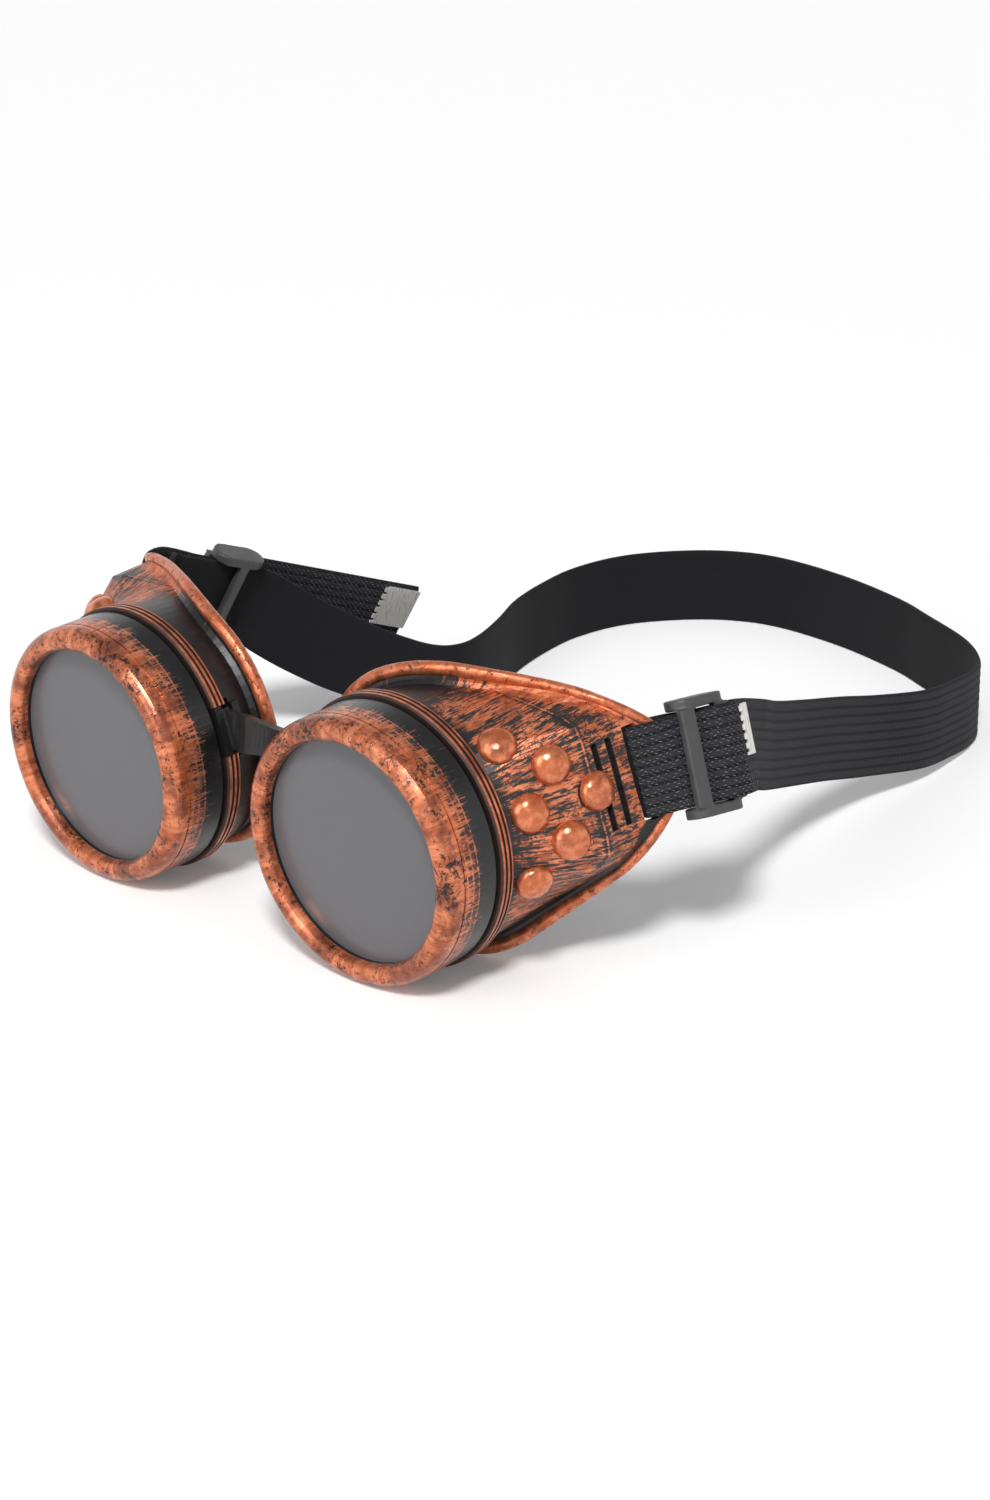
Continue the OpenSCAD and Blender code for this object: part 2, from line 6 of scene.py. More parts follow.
import bmesh
import bpy
from mathutils import Matrix, Vector
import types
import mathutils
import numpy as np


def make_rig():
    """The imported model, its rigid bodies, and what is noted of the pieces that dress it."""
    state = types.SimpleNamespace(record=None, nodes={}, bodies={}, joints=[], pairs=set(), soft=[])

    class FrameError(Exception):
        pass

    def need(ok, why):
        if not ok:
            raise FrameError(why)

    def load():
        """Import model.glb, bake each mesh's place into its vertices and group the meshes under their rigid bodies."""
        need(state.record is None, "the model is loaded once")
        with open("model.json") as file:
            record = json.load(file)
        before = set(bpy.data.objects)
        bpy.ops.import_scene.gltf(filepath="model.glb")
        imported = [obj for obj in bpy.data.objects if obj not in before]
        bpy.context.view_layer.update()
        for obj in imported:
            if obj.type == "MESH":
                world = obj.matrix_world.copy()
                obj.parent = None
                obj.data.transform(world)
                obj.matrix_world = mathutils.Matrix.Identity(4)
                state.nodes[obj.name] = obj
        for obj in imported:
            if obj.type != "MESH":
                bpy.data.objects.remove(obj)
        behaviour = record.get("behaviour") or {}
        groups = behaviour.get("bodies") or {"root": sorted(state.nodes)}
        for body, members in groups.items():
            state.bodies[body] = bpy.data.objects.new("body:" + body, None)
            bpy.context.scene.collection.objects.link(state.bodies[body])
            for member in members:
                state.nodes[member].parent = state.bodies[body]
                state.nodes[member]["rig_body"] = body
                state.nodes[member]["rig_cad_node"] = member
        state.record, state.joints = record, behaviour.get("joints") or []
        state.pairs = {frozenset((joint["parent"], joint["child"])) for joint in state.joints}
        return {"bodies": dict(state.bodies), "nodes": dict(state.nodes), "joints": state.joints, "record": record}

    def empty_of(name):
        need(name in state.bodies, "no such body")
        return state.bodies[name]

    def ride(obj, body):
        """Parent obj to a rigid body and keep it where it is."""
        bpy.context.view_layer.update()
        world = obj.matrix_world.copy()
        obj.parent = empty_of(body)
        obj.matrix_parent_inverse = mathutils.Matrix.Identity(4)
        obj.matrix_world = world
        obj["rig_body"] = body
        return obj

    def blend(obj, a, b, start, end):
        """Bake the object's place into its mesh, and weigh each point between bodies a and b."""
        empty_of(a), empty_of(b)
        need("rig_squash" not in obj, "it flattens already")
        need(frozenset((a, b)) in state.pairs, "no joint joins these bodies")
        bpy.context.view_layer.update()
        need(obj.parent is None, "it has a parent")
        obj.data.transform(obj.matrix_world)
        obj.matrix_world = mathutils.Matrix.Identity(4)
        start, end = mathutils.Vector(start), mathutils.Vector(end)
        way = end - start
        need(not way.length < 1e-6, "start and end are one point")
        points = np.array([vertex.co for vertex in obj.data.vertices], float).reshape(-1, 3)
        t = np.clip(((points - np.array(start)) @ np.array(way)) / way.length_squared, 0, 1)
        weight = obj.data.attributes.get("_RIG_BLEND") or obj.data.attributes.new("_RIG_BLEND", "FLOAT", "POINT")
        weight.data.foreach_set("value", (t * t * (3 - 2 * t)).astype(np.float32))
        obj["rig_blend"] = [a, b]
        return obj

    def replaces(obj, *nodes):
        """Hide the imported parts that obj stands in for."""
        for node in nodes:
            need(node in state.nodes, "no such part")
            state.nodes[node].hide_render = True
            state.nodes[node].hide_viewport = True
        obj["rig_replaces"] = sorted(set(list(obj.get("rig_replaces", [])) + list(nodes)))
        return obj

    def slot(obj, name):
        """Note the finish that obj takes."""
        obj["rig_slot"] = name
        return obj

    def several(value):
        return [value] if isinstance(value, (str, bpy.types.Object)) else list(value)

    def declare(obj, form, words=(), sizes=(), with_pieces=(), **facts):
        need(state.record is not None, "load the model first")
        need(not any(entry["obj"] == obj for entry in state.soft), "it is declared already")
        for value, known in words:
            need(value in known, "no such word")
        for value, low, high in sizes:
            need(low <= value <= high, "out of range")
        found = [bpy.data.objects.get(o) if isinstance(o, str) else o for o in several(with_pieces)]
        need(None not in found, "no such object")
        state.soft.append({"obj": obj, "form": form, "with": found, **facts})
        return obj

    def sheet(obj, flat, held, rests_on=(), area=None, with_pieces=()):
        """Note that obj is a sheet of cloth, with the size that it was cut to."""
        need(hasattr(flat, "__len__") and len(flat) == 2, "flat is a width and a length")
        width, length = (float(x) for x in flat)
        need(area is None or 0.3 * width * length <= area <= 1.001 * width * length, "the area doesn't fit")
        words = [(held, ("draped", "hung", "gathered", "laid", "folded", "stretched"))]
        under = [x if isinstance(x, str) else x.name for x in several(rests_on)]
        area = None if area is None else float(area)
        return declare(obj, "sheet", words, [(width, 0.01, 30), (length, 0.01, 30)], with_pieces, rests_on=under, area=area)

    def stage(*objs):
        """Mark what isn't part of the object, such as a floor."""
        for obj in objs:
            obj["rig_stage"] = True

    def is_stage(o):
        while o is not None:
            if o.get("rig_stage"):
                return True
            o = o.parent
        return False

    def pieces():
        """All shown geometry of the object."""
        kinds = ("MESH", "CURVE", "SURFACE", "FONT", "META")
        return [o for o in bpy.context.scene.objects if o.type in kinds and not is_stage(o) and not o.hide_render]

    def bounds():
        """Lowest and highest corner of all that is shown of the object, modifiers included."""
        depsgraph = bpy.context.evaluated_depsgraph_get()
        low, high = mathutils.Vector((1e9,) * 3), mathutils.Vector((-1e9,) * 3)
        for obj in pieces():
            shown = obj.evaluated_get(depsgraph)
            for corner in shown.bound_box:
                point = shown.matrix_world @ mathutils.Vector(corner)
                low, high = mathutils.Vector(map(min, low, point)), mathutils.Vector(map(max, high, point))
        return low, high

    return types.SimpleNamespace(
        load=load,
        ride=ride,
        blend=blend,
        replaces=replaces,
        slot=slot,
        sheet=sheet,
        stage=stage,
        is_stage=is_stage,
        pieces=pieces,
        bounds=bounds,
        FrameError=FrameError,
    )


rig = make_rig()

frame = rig.load()
cad_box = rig.bounds()

MM = 0.001
WELD = 1e-6

# Each side and its sign along X
SIDES = {"left": 1, "right": -1}

# Turns of the cups and the distance between the lenses, as in the solids
CUP_TOE = math.radians(1.4)
CUP_LEAN = math.radians(3.3)
SHIELD_RISE = math.radians(17.5)
LENS_SPACING = 82.5 * MM

# Shield sizes, with angles in degrees round the lens axis from the shield's tip
BARREL_R = 28.2 * MM
ROOT_R = 29.6 * MM
ROOT_Y = 15.2 * MM
WALL_BACK = 17.8 * MM
RIM_R = 33.3 * MM
TIP_REACH = 46.5 * MM
TIP_R = 23.4 * MM
RIM_BASE = 8.8 * MM
RIM_SWEEP = 21 * MM
TIP_SWEEP = 8 * MM
NOSE_RELIEF = 4 * MM
NOSE_ANGLE = -125
NOSE_HALF = 50
SWEEP_HALF = 105
TIP_HALF = 30
RIM_CLEAR = 2 * MM
BEAD_R = 1.5 * MM
DOME_R = 4.2 * MM
DOME_H = 2.6 * MM
TIP_Y = ROOT_Y + RIM_BASE + RIM_SWEEP + TIP_SWEEP

# Strap and slider sizes
STRAP_W = 20 * MM
STRAP_T = 1.2 * MM
STRAP_REACH = 243 * MM
STRAP_SPREAD = 78 * MM
SOFT_GAP = 0.3 * MM
RUN_GAP = 0.05 * MM
SLIDER_LEN = 14 * MM
BAR_W = 4 * MM
BAR_T = 2 * MM
TAIL_LEN = 52 * MM

# Out from the band's middle to the next layer of strap, the slider's outer face and the strap over it
LAYER = STRAP_T + SOFT_GAP
BAR_OUT = LAYER + STRAP_T / 2 + SOFT_GAP + BAR_T
OVER_OUT = BAR_OUT + SOFT_GAP + STRAP_T / 2

JOINTS = {j["name"]: j for j in frame["joints"]}


def lens_centre(side):
    return Vector(JOINTS["bezel_turn_" + side]["pos_m"])


LENS_H = lens_centre("left").z
MIDDLE = Vector((LENS_SPACING / 2, 0, LENS_H)) - lens_centre("left")


# Frames of the cup, the shield and the strap's run through its slider
def turned(x, y, z):
    """Turn about X, then Y, then Z, in radians."""
    return Matrix.Rotation(z, 4, "Z") @ Matrix.Rotation(y, 4, "Y") @ Matrix.Rotation(x, 4, "X")


def cup_frame(side):
    """At the middle of the lens: X to the temple, Y back, Z up."""
    mirror = Matrix.Diagonal((SIDES[side], 1, 1, 1))
    place = Matrix.Translation((LENS_SPACING / 2, 0, LENS_H))
    return Matrix.Translation(-MIDDLE) @ mirror @ place @ turned(CUP_LEAN, 0, CUP_TOE)


def shield_frame(side):
    """The cup's frame, turned round the lens axis so that X points at the shield's tip."""
    return cup_frame(side) @ Matrix.Rotation(-SHIELD_RISE, 4, "Y")


RUNS = {
    "left": dict(at=(46.4, 6.2, -1.2), out=4, drop=8, roll=-4),
    "right": dict(at=(43, 20.5, -8), out=-15, drop=18, roll=0),
}


def run_frame(side):
    """At the middle of the slider: X out from the strap, Y along it, Z across it."""
    run = RUNS[side]
    x, back, z = (MM * v for v in run["at"])
    turn = turned(-math.radians(run["drop"]), 0, -math.radians(run["out"]))
    roll = Matrix.Rotation(math.radians(run["roll"]), 4, "Y")
    return shield_frame(side) @ Matrix.Translation((x, TIP_Y + back, z)) @ turn @ roll


# Outline of the shield round the lens axis
def fade(angle, span):
    """1 at no angle, and smoothly less until it is 0 at span degrees to either side."""
    return math.cos(math.radians(angle * 90 / span)) ** 2 if abs(angle) < span else 0


def wrap(angle):
    """The same turn, from -180 to 180 degrees."""
    return (angle + 180) % 360 - 180


TIP_MID = TIP_REACH - TIP_R
RIM_TURN = math.degrees(math.acos((RIM_R - TIP_R) / TIP_MID))
TIP_TURN = math.degrees(math.atan2(TIP_R * math.sin(math.radians(RIM_TURN)),
                                   TIP_MID + TIP_R * math.cos(math.radians(RIM_TURN))))
WALL_R = BARREL_R + 0.6 * MM
WALL_TIP = TIP_REACH - 7 * MM
WALL_HALF = 15 * MM
WALL_CORNER = math.degrees(math.atan2(WALL_HALF, WALL_TIP))
WALL_TURN = WALL_CORNER + math.degrees(math.acos(WALL_R / math.hypot(WALL_TIP, WALL_HALF)))

# Past its fold the wall flares by this share of the way out to the rim, over this share of the way back
FLARE_OUT = 0.18
FLARE_BACK = 0.55


def rim_out(angle):
    """Reach of the rim from the lens axis. Angle 0 is at the shield's tip."""
    a = abs(angle)
    turn = math.radians(a)
    if a < TIP_TURN:
        plain = TIP_MID * math.cos(turn) + math.sqrt(TIP_R ** 2 - (TIP_MID * math.sin(turn)) ** 2)
    elif a < RIM_TURN:
        plain = RIM_R / math.cos(math.radians(RIM_TURN - a))
    else:
        plain = RIM_R
    return plain - NOSE_RELIEF * fade(wrap(angle - NOSE_ANGLE), NOSE_HALF)


def rim_back(angle):
    """Distance of the rim back from the lens."""
    return ROOT_Y + RIM_BASE + RIM_SWEEP * fade(angle, SWEEP_HALF) + TIP_SWEEP * fade(angle, TIP_HALF)


def wall_out(angle):
    """Reach of the outer wall at its fold."""
    a = abs(angle)
    if a < WALL_CORNER:
        return WALL_TIP / math.cos(math.radians(a))
    if a < WALL_TURN:
        return WALL_R / math.cos(math.radians(WALL_TURN - a))
    return WALL_R


def wall_end(angle):
    """Distance of the wall's fold back from the lens."""
    return min(ROOT_Y + WALL_BACK, rim_back(angle) - RIM_CLEAR)


def polar(out, back, angle):
    """A point in a cup's frame at this reach, distance back and angle."""
    return Vector((out * math.cos(math.radians(angle)), back, out * math.sin(math.radians(angle))))


def skin(angle, back):
    """A point on the shield's outer wall."""
    end, out = wall_end(angle), wall_out(angle)
    if back < end:
        return polar(ROOT_R + (out - ROOT_R) * (back - ROOT_Y) / (end - ROOT_Y), back, angle)
    share = (back - end) / (FLARE_BACK * (rim_back(angle) - end))
    return polar(out + FLARE_OUT * (rim_out(angle) - out) * share, back, angle)


def facing(angle, back):
    """The way out of the wall at a point of its skin."""
    step = 0.5
    along = skin(angle, back + step * MM) - skin(angle, back - step * MM)
    across = skin(angle + step, back) - skin(angle - step, back)
    return along.cross(across).normalized()


# Meshes
def finish_piece(name, bm, material, body=None, smooth=True):
    """A bmesh in the row frame becomes a finished piece that rides on its body."""
    mesh = bpy.data.meshes.new(name)
    bm.to_mesh(mesh)
    bm.free()
    for face in mesh.polygons:
        face.use_smooth = smooth
    mesh.materials.append(material)
    piece = bpy.data.objects.new(name, mesh)
    bpy.context.scene.collection.objects.link(piece)
    if body:
        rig.ride(piece, body)
    return piece


def bent_sheet(bm, across, along, place, wrapped=False, uv=None):
    """A grid of across by along faces whose every vertex is put at place(u, v), u and v from 0 to 1."""
    grid = bmesh.ops.create_grid(bm, x_segments=across, y_segments=along, size=0.5)
    layer = bm.loops.layers.uv.verify()
    share = {v: (v.co.x + 0.5, v.co.y + 0.5) for v in grid["verts"]}
    for face in bm.faces:
        for loop in face.loops:
            u, v = share[loop.vert]
            loop[layer].uv = uv(u, v) if uv else (u, v)
    for vert, (u, v) in share.items():
        vert.co = place(u, v)
    if wrapped:
        bmesh.ops.remove_doubles(bm, verts=bm.verts, dist=WELD)
    return bm


# Paint and cloth
def finish(name, roughness=0.5, metallic=0.0, specular=0.5):
    """A new material, its node tree and its shader."""
    material = bpy.data.materials.new(name)
    material.use_nodes = True
    shader = material.node_tree.nodes["Principled BSDF"]
    shader.inputs["Roughness"].default_value = roughness
    shader.inputs["Metallic"].default_value = metallic
    shader.inputs["Specular IOR Level"].default_value = specular
    return material, material.node_tree, shader


def node(tree, kind, inputs=None, **settings):
    """A new shader node, with each input set to a value or joined to a socket."""
    made = tree.nodes.new("ShaderNode" + kind)
    for name, value in settings.items():
        setattr(made, name, value)
    for socket, value in (inputs or {}).items():
        if isinstance(value, bpy.types.NodeSocket):
            tree.links.new(value, made.inputs[socket])
        else:
            made.inputs[socket].default_value = value
    return made


def maths(tree, operation, *values):
    """One step of arithmetic on numbers or sockets."""
    return node(tree, "Math", dict(enumerate(values)), operation=operation).outputs[0]


def times(tree, first, second):
    return maths(tree, "MULTIPLY", first, second)


def plus(tree, first, second):
    return maths(tree, "ADD", first, second)


def minus(tree, first, second):
    return maths(tree, "SUBTRACT", first, second)


def larger(tree, first, second):
    return maths(tree, "MAXIMUM", first, second)


def apart(tree, first, second):
    """How far two values are from each other."""
    return maths(tree, "ABSOLUTE", minus(tree, first, second))


def shifted(tree, value, factor, added):
    """The value times a factor, with something added."""
    return maths(tree, "MULTIPLY_ADD", value, factor, added)


def blended(tree, share, first, second):
    """A colour that goes from first to second as share goes from 0 to 1."""
    mix = node(tree, "Mix", {"Factor": share}, data_type="RGBA")
    for socket, value in ((mix.inputs["A"], first), (mix.inputs["B"], second)):
        if isinstance(value, bpy.types.NodeSocket):
            tree.links.new(value, socket)
        else:
            socket.default_value = value
    return mix.outputs["Result"]


def stepped(tree, value, low, high, to=(0.0, 1.0)):
    """Smooth step of a value between low and high."""
    kind = dict(interpolation_type="SMOOTHSTEP")
    inputs = {"Value": value, "From Min": low, "From Max": high, "To Min": to[0], "To Max": to[1]}
    return node(tree, "MapRange", inputs, **kind).outputs["Result"]


def noise(tree, vector, scale, detail=4.0, roughness=0.6):
    """Cloudy noise around 0.5."""
    inputs = {"Vector": vector, "Scale": scale, "Detail": detail, "Roughness": roughness}
    return node(tree, "TexNoise", inputs).outputs["Fac"]


def ramp(tree, value, stops):
    """A grey ramp through (place, value) stops."""
    made = node(tree, "ValToRGB", {"Fac": value})
    elements = made.color_ramp.elements
    while len(elements) < len(stops):
        elements.new(0.5)
    for element, (place, grey) in zip(elements, stops):
        element.position = place
        element.color = (grey, grey, grey, 1)
    return made.outputs["Color"]


def bumped(tree, shader, height, distance, strength=1.0):
    """Lets a height show as relief of this depth in metres."""
    bump = node(tree, "Bump", {"Height": height, "Distance": distance, "Strength": strength})
    tree.links.new(bump.outputs["Normal"], shader.inputs["Normal"])


def mapped(tree, source, matrix, kind="POINT"):
    """Object coordinates carried into the frame that the matrix stands for."""
    inverse = matrix.inverted()
    turn = inverse.to_3x3()
    mirror = Matrix.Identity(3)
    if turn.determinant() < 0:
        mirror[0][0] = -1
        turn = turn @ mirror
    mapping = node(tree, "Mapping", {"Vector": source}, vector_type=kind)
    if kind == "POINT":
        mapping.inputs["Location"].default_value = inverse.translation
    mapping.inputs["Rotation"].default_value = turn.to_euler("XYZ")
    mapping.inputs["Scale"].default_value = (mirror[0][0], 1, 1)
    return mapping.outputs["Vector"]


# Colours
BLACK = (0.009, 0.009, 0.01, 1)
COPPER = (0.52, 0.125, 0.042, 1)
COPPER_DEEP = (0.16, 0.036, 0.018, 1)
COPPER_BRIGHT = (0.76, 0.25, 0.12, 1)
# A grey-brown tint on the black just short of the copper strokes, partly a thin wash of paint and partly a painted
# sheen
GREY_WASH_AND_SHEEN = (0.032, 0.025, 0.023, 1)
LENS_DARK = (0.098, 0.097, 0.105, 1)
LENS_LIGHT = (0.115, 0.114, 0.122, 1)
STEEL_DARK = (0.62, 0.6, 0.57, 1)
STEEL_LIGHT = (0.8, 0.78, 0.75, 1)
ELASTIC_DARK = (0.007, 0.007, 0.008, 1)
ELASTIC_LIGHT = (0.018, 0.018, 0.021, 1)
# Painted highlight on the crests of the ribs
ELASTIC_RIB_HIGHLIGHT = (0.038, 0.038, 0.044, 1)
ELASTIC_STITCH = (0.3, 0.3, 0.3, 1)

# The bezel's share of copper at distances back from the lens in mm, its fine lines as (back, width),
# and where its face ends. The lens's seat stays black inside LENS_EDGE and behind LENS_SEAT.
BEZEL_FRONT = 4
BEZEL_SPAN = 15
BEZEL_COVER = [(-4, 0.84), (-0.4, 0.8), (1.2, 0.62), (4.4, 0.5), (6.4, 0.3), (10.6, 0.12)]
BEZEL_LINES = ((1.7, 0.3), (3.4, 0.3), (5.1, 0.25))
BEZEL_FACE = (-1.6, 0.8)
LENS_EDGE = 25.2 * MM
LENS_SEAT = (-1.1, -0.7)
COLLAR_GROOVES = (11.5, 12.7, 13.95, 15.1)

# Copper on the shield sets in over these stretches: across to the temple, back in mm, and up. Along the
# rim, by distance from the rolled bead, the lower half keeps a band of painted shade and the upper half
# takes more copper.
PANEL = (5 * MM, 20 * MM)
PANEL_START = (15.0, 18.0)
UPPER_START = (1.0 * MM, 9.0 * MM)
RIM_SHADE = (3.4 * MM, 5.2 * MM)
RIM_BRIGHT = (2.0 * MM, 8.0 * MM)

# The fold's distance back in mm, the vent slots, and how sharply the brushed paint ends
WALL_FOLD = 1000 * (ROOT_Y + WALL_BACK)
VENTS = (ROOT_Y + 20.5 * MM, ROOT_Y + 24.5 * MM)
VENT_HALF = 9.5 * MM
VENT_REACH = (25.0 * MM, 26.0 * MM)
VENT_EDGE = (0.8 * MM, 0.95 * MM)
PAINT_EDGE = (-0.012, 0.02)


def polar_parts(tree, place):
    """For a place in a cup's frame: its reach from the lens axis, the way out and the millimetres back."""
    split = node(tree, "SeparateXYZ", {"Vector": place}).outputs
    flat = node(tree, "CombineXYZ", {"X": split["X"], "Z": split["Z"]}).outputs[0]
    reach = node(tree, "VectorMath", {0: flat}, operation="LENGTH").outputs["Value"]
    outward = node(tree, "VectorMath", {0: flat}, operation="NORMALIZE").outputs[0]
    return split, reach, outward, times(tree, split["Y"], 1000.0)


# Strokes are laid out on a ring of this radius in mm
STROKE_R = 30.0


def brushed_along(tree, outward, back, stretch):
    """Coordinates in millimetres round the axis, drawn out front to back."""
    ring = node(tree, "VectorMath", {0: outward, "Scale": STROKE_R}, operation="SCALE").outputs[0]
    depth = node(tree, "CombineXYZ", {"Y": times(tree, back, stretch)}).outputs[0]
    return node(tree, "VectorMath", {0: ring, 1: depth}, operation="ADD").outputs[0]


def stroke_mix(tree, brushed, fine, coarse, share):
    """Fine and coarse strokes together, each as (scale, detail, roughness), and the fine ones alone."""
    thin, broad = noise(tree, brushed, *fine), noise(tree, brushed, *coarse)
    return plus(tree, times(tree, thin, share), times(tree, broad, 1 - share)), thin


def copper_over(tree, shader, paint, strokes, place, brushed, under, rough, sheen, deep):
    """Copper where paint is 1 and the black coat where it is 0. rough and sheen are the roughness of the
    copper and of the black, and deep adds brown smudges and dark specks to the copper."""
    tree.links.new(stepped(tree, paint, 0.0, 1.0, (0.4, 0.8)), shader.inputs["Specular IOR Level"])
    tone = stepped(tree, noise(tree, brushed, 0.9, 6.0, 0.7), 0.38, 0.62)
    copper = blended(tree, tone, COPPER, COPPER_BRIGHT)
    smudge = shifted(tree, deep, 0.1, noise(tree, place, 150.0, 5.0, 0.68))
    smudge = times(tree, stepped(tree, smudge, 0.5, 0.7), 0.75)
    copper = blended(tree, smudge, copper, COPPER_DEEP)
    clusters = stepped(tree, noise(tree, place, 110.0, 3.0, 0.6), 0.35, 0.7, (-0.04, 0.06))
    clusters = shifted(tree, deep, 0.022, clusters)
    specks = plus(tree, clusters, noise(tree, place, 800.0, 8.0, 0.85))
    specks = times(tree, stepped(tree, specks, 0.565, 0.595), 0.95)
    copper = blended(tree, specks, copper, BLACK)
    tree.links.new(blended(tree, paint, under, copper), shader.inputs["Base Color"])
    tree.links.new(times(tree, paint, 0.6), shader.inputs["Metallic"])
    tree.links.new(stepped(tree, paint, 0.0, 1.0, (sheen, rough)), shader.inputs["Roughness"])
    height = plus(tree, paint, times(tree, strokes, 0.8))
    bumped(tree, shader, height, 0.00007, 0.7)


# The rim's outline goes into the colours of a ramp, so many times its size in metres
RAMP_STOPS = 32
RAMP_SCALE = 10


def rim_distance(tree, split, reach):
    """How far a place on the shield is from the middle of its rolled rim."""
    angle = maths(tree, "ARCTAN2", split["Z"], split["X"])
    turn = shifted(tree, angle, 0.5 / math.pi, 0.5)
    made = node(tree, "ValToRGB", {"Fac": turn})
    elements = made.color_ramp.elements
    while len(elements) < RAMP_STOPS:
        elements.new(0.5)
    for k, element in enumerate(elements):
        element.position = k / (RAMP_STOPS - 1)
        a = element.position * 360 - 180
        element.color = (RAMP_SCALE * (rim_out(a) - BEAD_R), RAMP_SCALE * rim_back(a), 0, 1)
    parts = node(tree, "SeparateColor", {"Color": made.outputs["Color"]}).outputs
    out = shifted(tree, parts["Red"], -1 / RAMP_SCALE, reach)
    back = shifted(tree, parts["Green"], -1 / RAMP_SCALE, split["Y"])
    flat = node(tree, "CombineXYZ", {"X": out, "Y": back}).outputs[0]
    return node(tree, "VectorMath", {0: flat}, operation="LENGTH").outputs["Value"]


def vent_slots(tree, split):
    """1 inside the shield's two vent slots, and 0 elsewhere."""
    level = maths(tree, "ABSOLUTE", split["Z"])
    level = stepped(tree, level, VENT_HALF, VENT_HALF + 0.3 * MM, (1.0, 0.0))
    level = times(tree, level, stepped(tree, split["X"], *VENT_REACH))
    slots = [stepped(tree, apart(tree, split["Y"], vent), *VENT_EDGE, (1.0, 0.0)) for vent in VENTS]
    return times(tree, larger(tree, *slots), level)


def shield_finish(name, matrix):
    """The cup and its shield: black plastic, dry-brushed with copper to the temple and up to the rim."""
    material, tree, shader = finish(name)
    source = node(tree, "TexCoord").outputs
    place = mapped(tree, source["Object"], matrix)
    split, reach, outward, back = polar_parts(tree, place)
    brushed = brushed_along(tree, outward, back, 0.13)
    mixed, fine = stroke_mix(tree, brushed, (2.2, 5.0, 0.72), (0.6, 4.0, 0.6), 0.68)

    normal = mapped(tree, source["Normal"], matrix, "VECTOR")
    lean = node(tree, "VectorMath", {0: normal, 1: outward}, operation="DOT_PRODUCT").outputs["Value"]
    outside = stepped(tree, lean, -0.3, 0.05)
    temple = stepped(tree, split["X"], *PANEL, (0.35, 1.0))
    upper = times(tree, stepped(tree, split["Z"], *UPPER_START), temple)
    rim = rim_distance(tree, split, reach)
    share = times(tree, stepped(tree, back, *PANEL_START, (0.3, 0.54)), temple)
    # On the lower half the copper gives way to painted shade near the rolled bead; the upper half takes more copper
    # there
    share = times(tree, share, larger(tree, upper, stepped(tree, rim, *RIM_SHADE)))
    near = times(tree, stepped(tree, rim, *RIM_BRIGHT, (0.8, 0.3)), upper)
    share = times(tree, larger(tree, share, near), outside)

    # A thin line of more copper right on the fold, and either side of it a band of less copper, painted shade in the
    # crease
    fold = apart(tree, back, WALL_FOLD)
    mixed = plus(tree, mixed, stepped(tree, fold, 0.1, 0.35, (0.1, 0.0)))
    mixed = minus(tree, mixed, stepped(tree, fold, 0.3, 1.4, (0.07, 0.0)))
    above = minus(tree, mixed, shifted(tree, share, -0.5, 0.76))
    paint = times(tree, stepped(tree, above, *PAINT_EDGE), minus(tree, 1.0, vent_slots(tree, split)))
    # Just short of the copper the black turns grey-brown, partly a thin wash of paint and partly a painted sheen
    wash_and_sheen = times(tree, stepped(tree, above, -0.1, -0.01), times(tree, outside, 0.9))
    under = blended(tree, wash_and_sheen, BLACK, GREY_WASH_AND_SHEEN)
    copper_over(tree, shader, paint, fine, place, brushed, under, 0.42, 0.34, 0.3)
    return material


def bezel_finish(name, matrix):
    """The bezel: copper on its face, combed strokes along the front of its skirt, black behind."""
    material, tree, shader = finish(name)
    place = mapped(tree, node(tree, "TexCoord").outputs["Object"], matrix)
    _, reach, outward, back = polar_parts(tree, place)
    brushed = brushed_along(tree, outward, back, 0.12)
    mixed, fine = stroke_mix(tree, brushed, (2.0, 5.0, 0.76), (0.35, 3.0, 0.5), 0.74)
    for place_back, width in BEZEL_LINES:
        mixed = plus(tree, mixed, stepped(tree, apart(tree, back, place_back), 0.1, width, (0.09, 0.0)))

    along = maths(tree, "DIVIDE", plus(tree, back, float(BEZEL_FRONT)), float(BEZEL_SPAN))
    share = ramp(tree, along, [((b + BEZEL_FRONT) / BEZEL_SPAN, c) for b, c in BEZEL_COVER])
    above = minus(tree, mixed, shifted(tree, share, -0.5, 0.75))
    seat = stepped(tree, reach, LENS_EDGE, LENS_EDGE + 0.5 * MM)
    seat = larger(tree, seat, stepped(tree, back, *LENS_SEAT, (1.0, 0.0)))
    paint = times(tree, stepped(tree, above, *PAINT_EDGE), seat)
    # Just short of the copper the black turns grey-brown, partly a thin wash of paint and partly a painted sheen
    under = blended(tree, times(tree, stepped(tree, above, -0.09, -0.01), seat), BLACK, GREY_WASH_AND_SHEEN)
    face = stepped(tree, back, *BEZEL_FACE, (1.0, 0.35))
    copper_over(tree, shader, paint, fine, place, brushed, under, 0.27, 0.22, face)
    return material


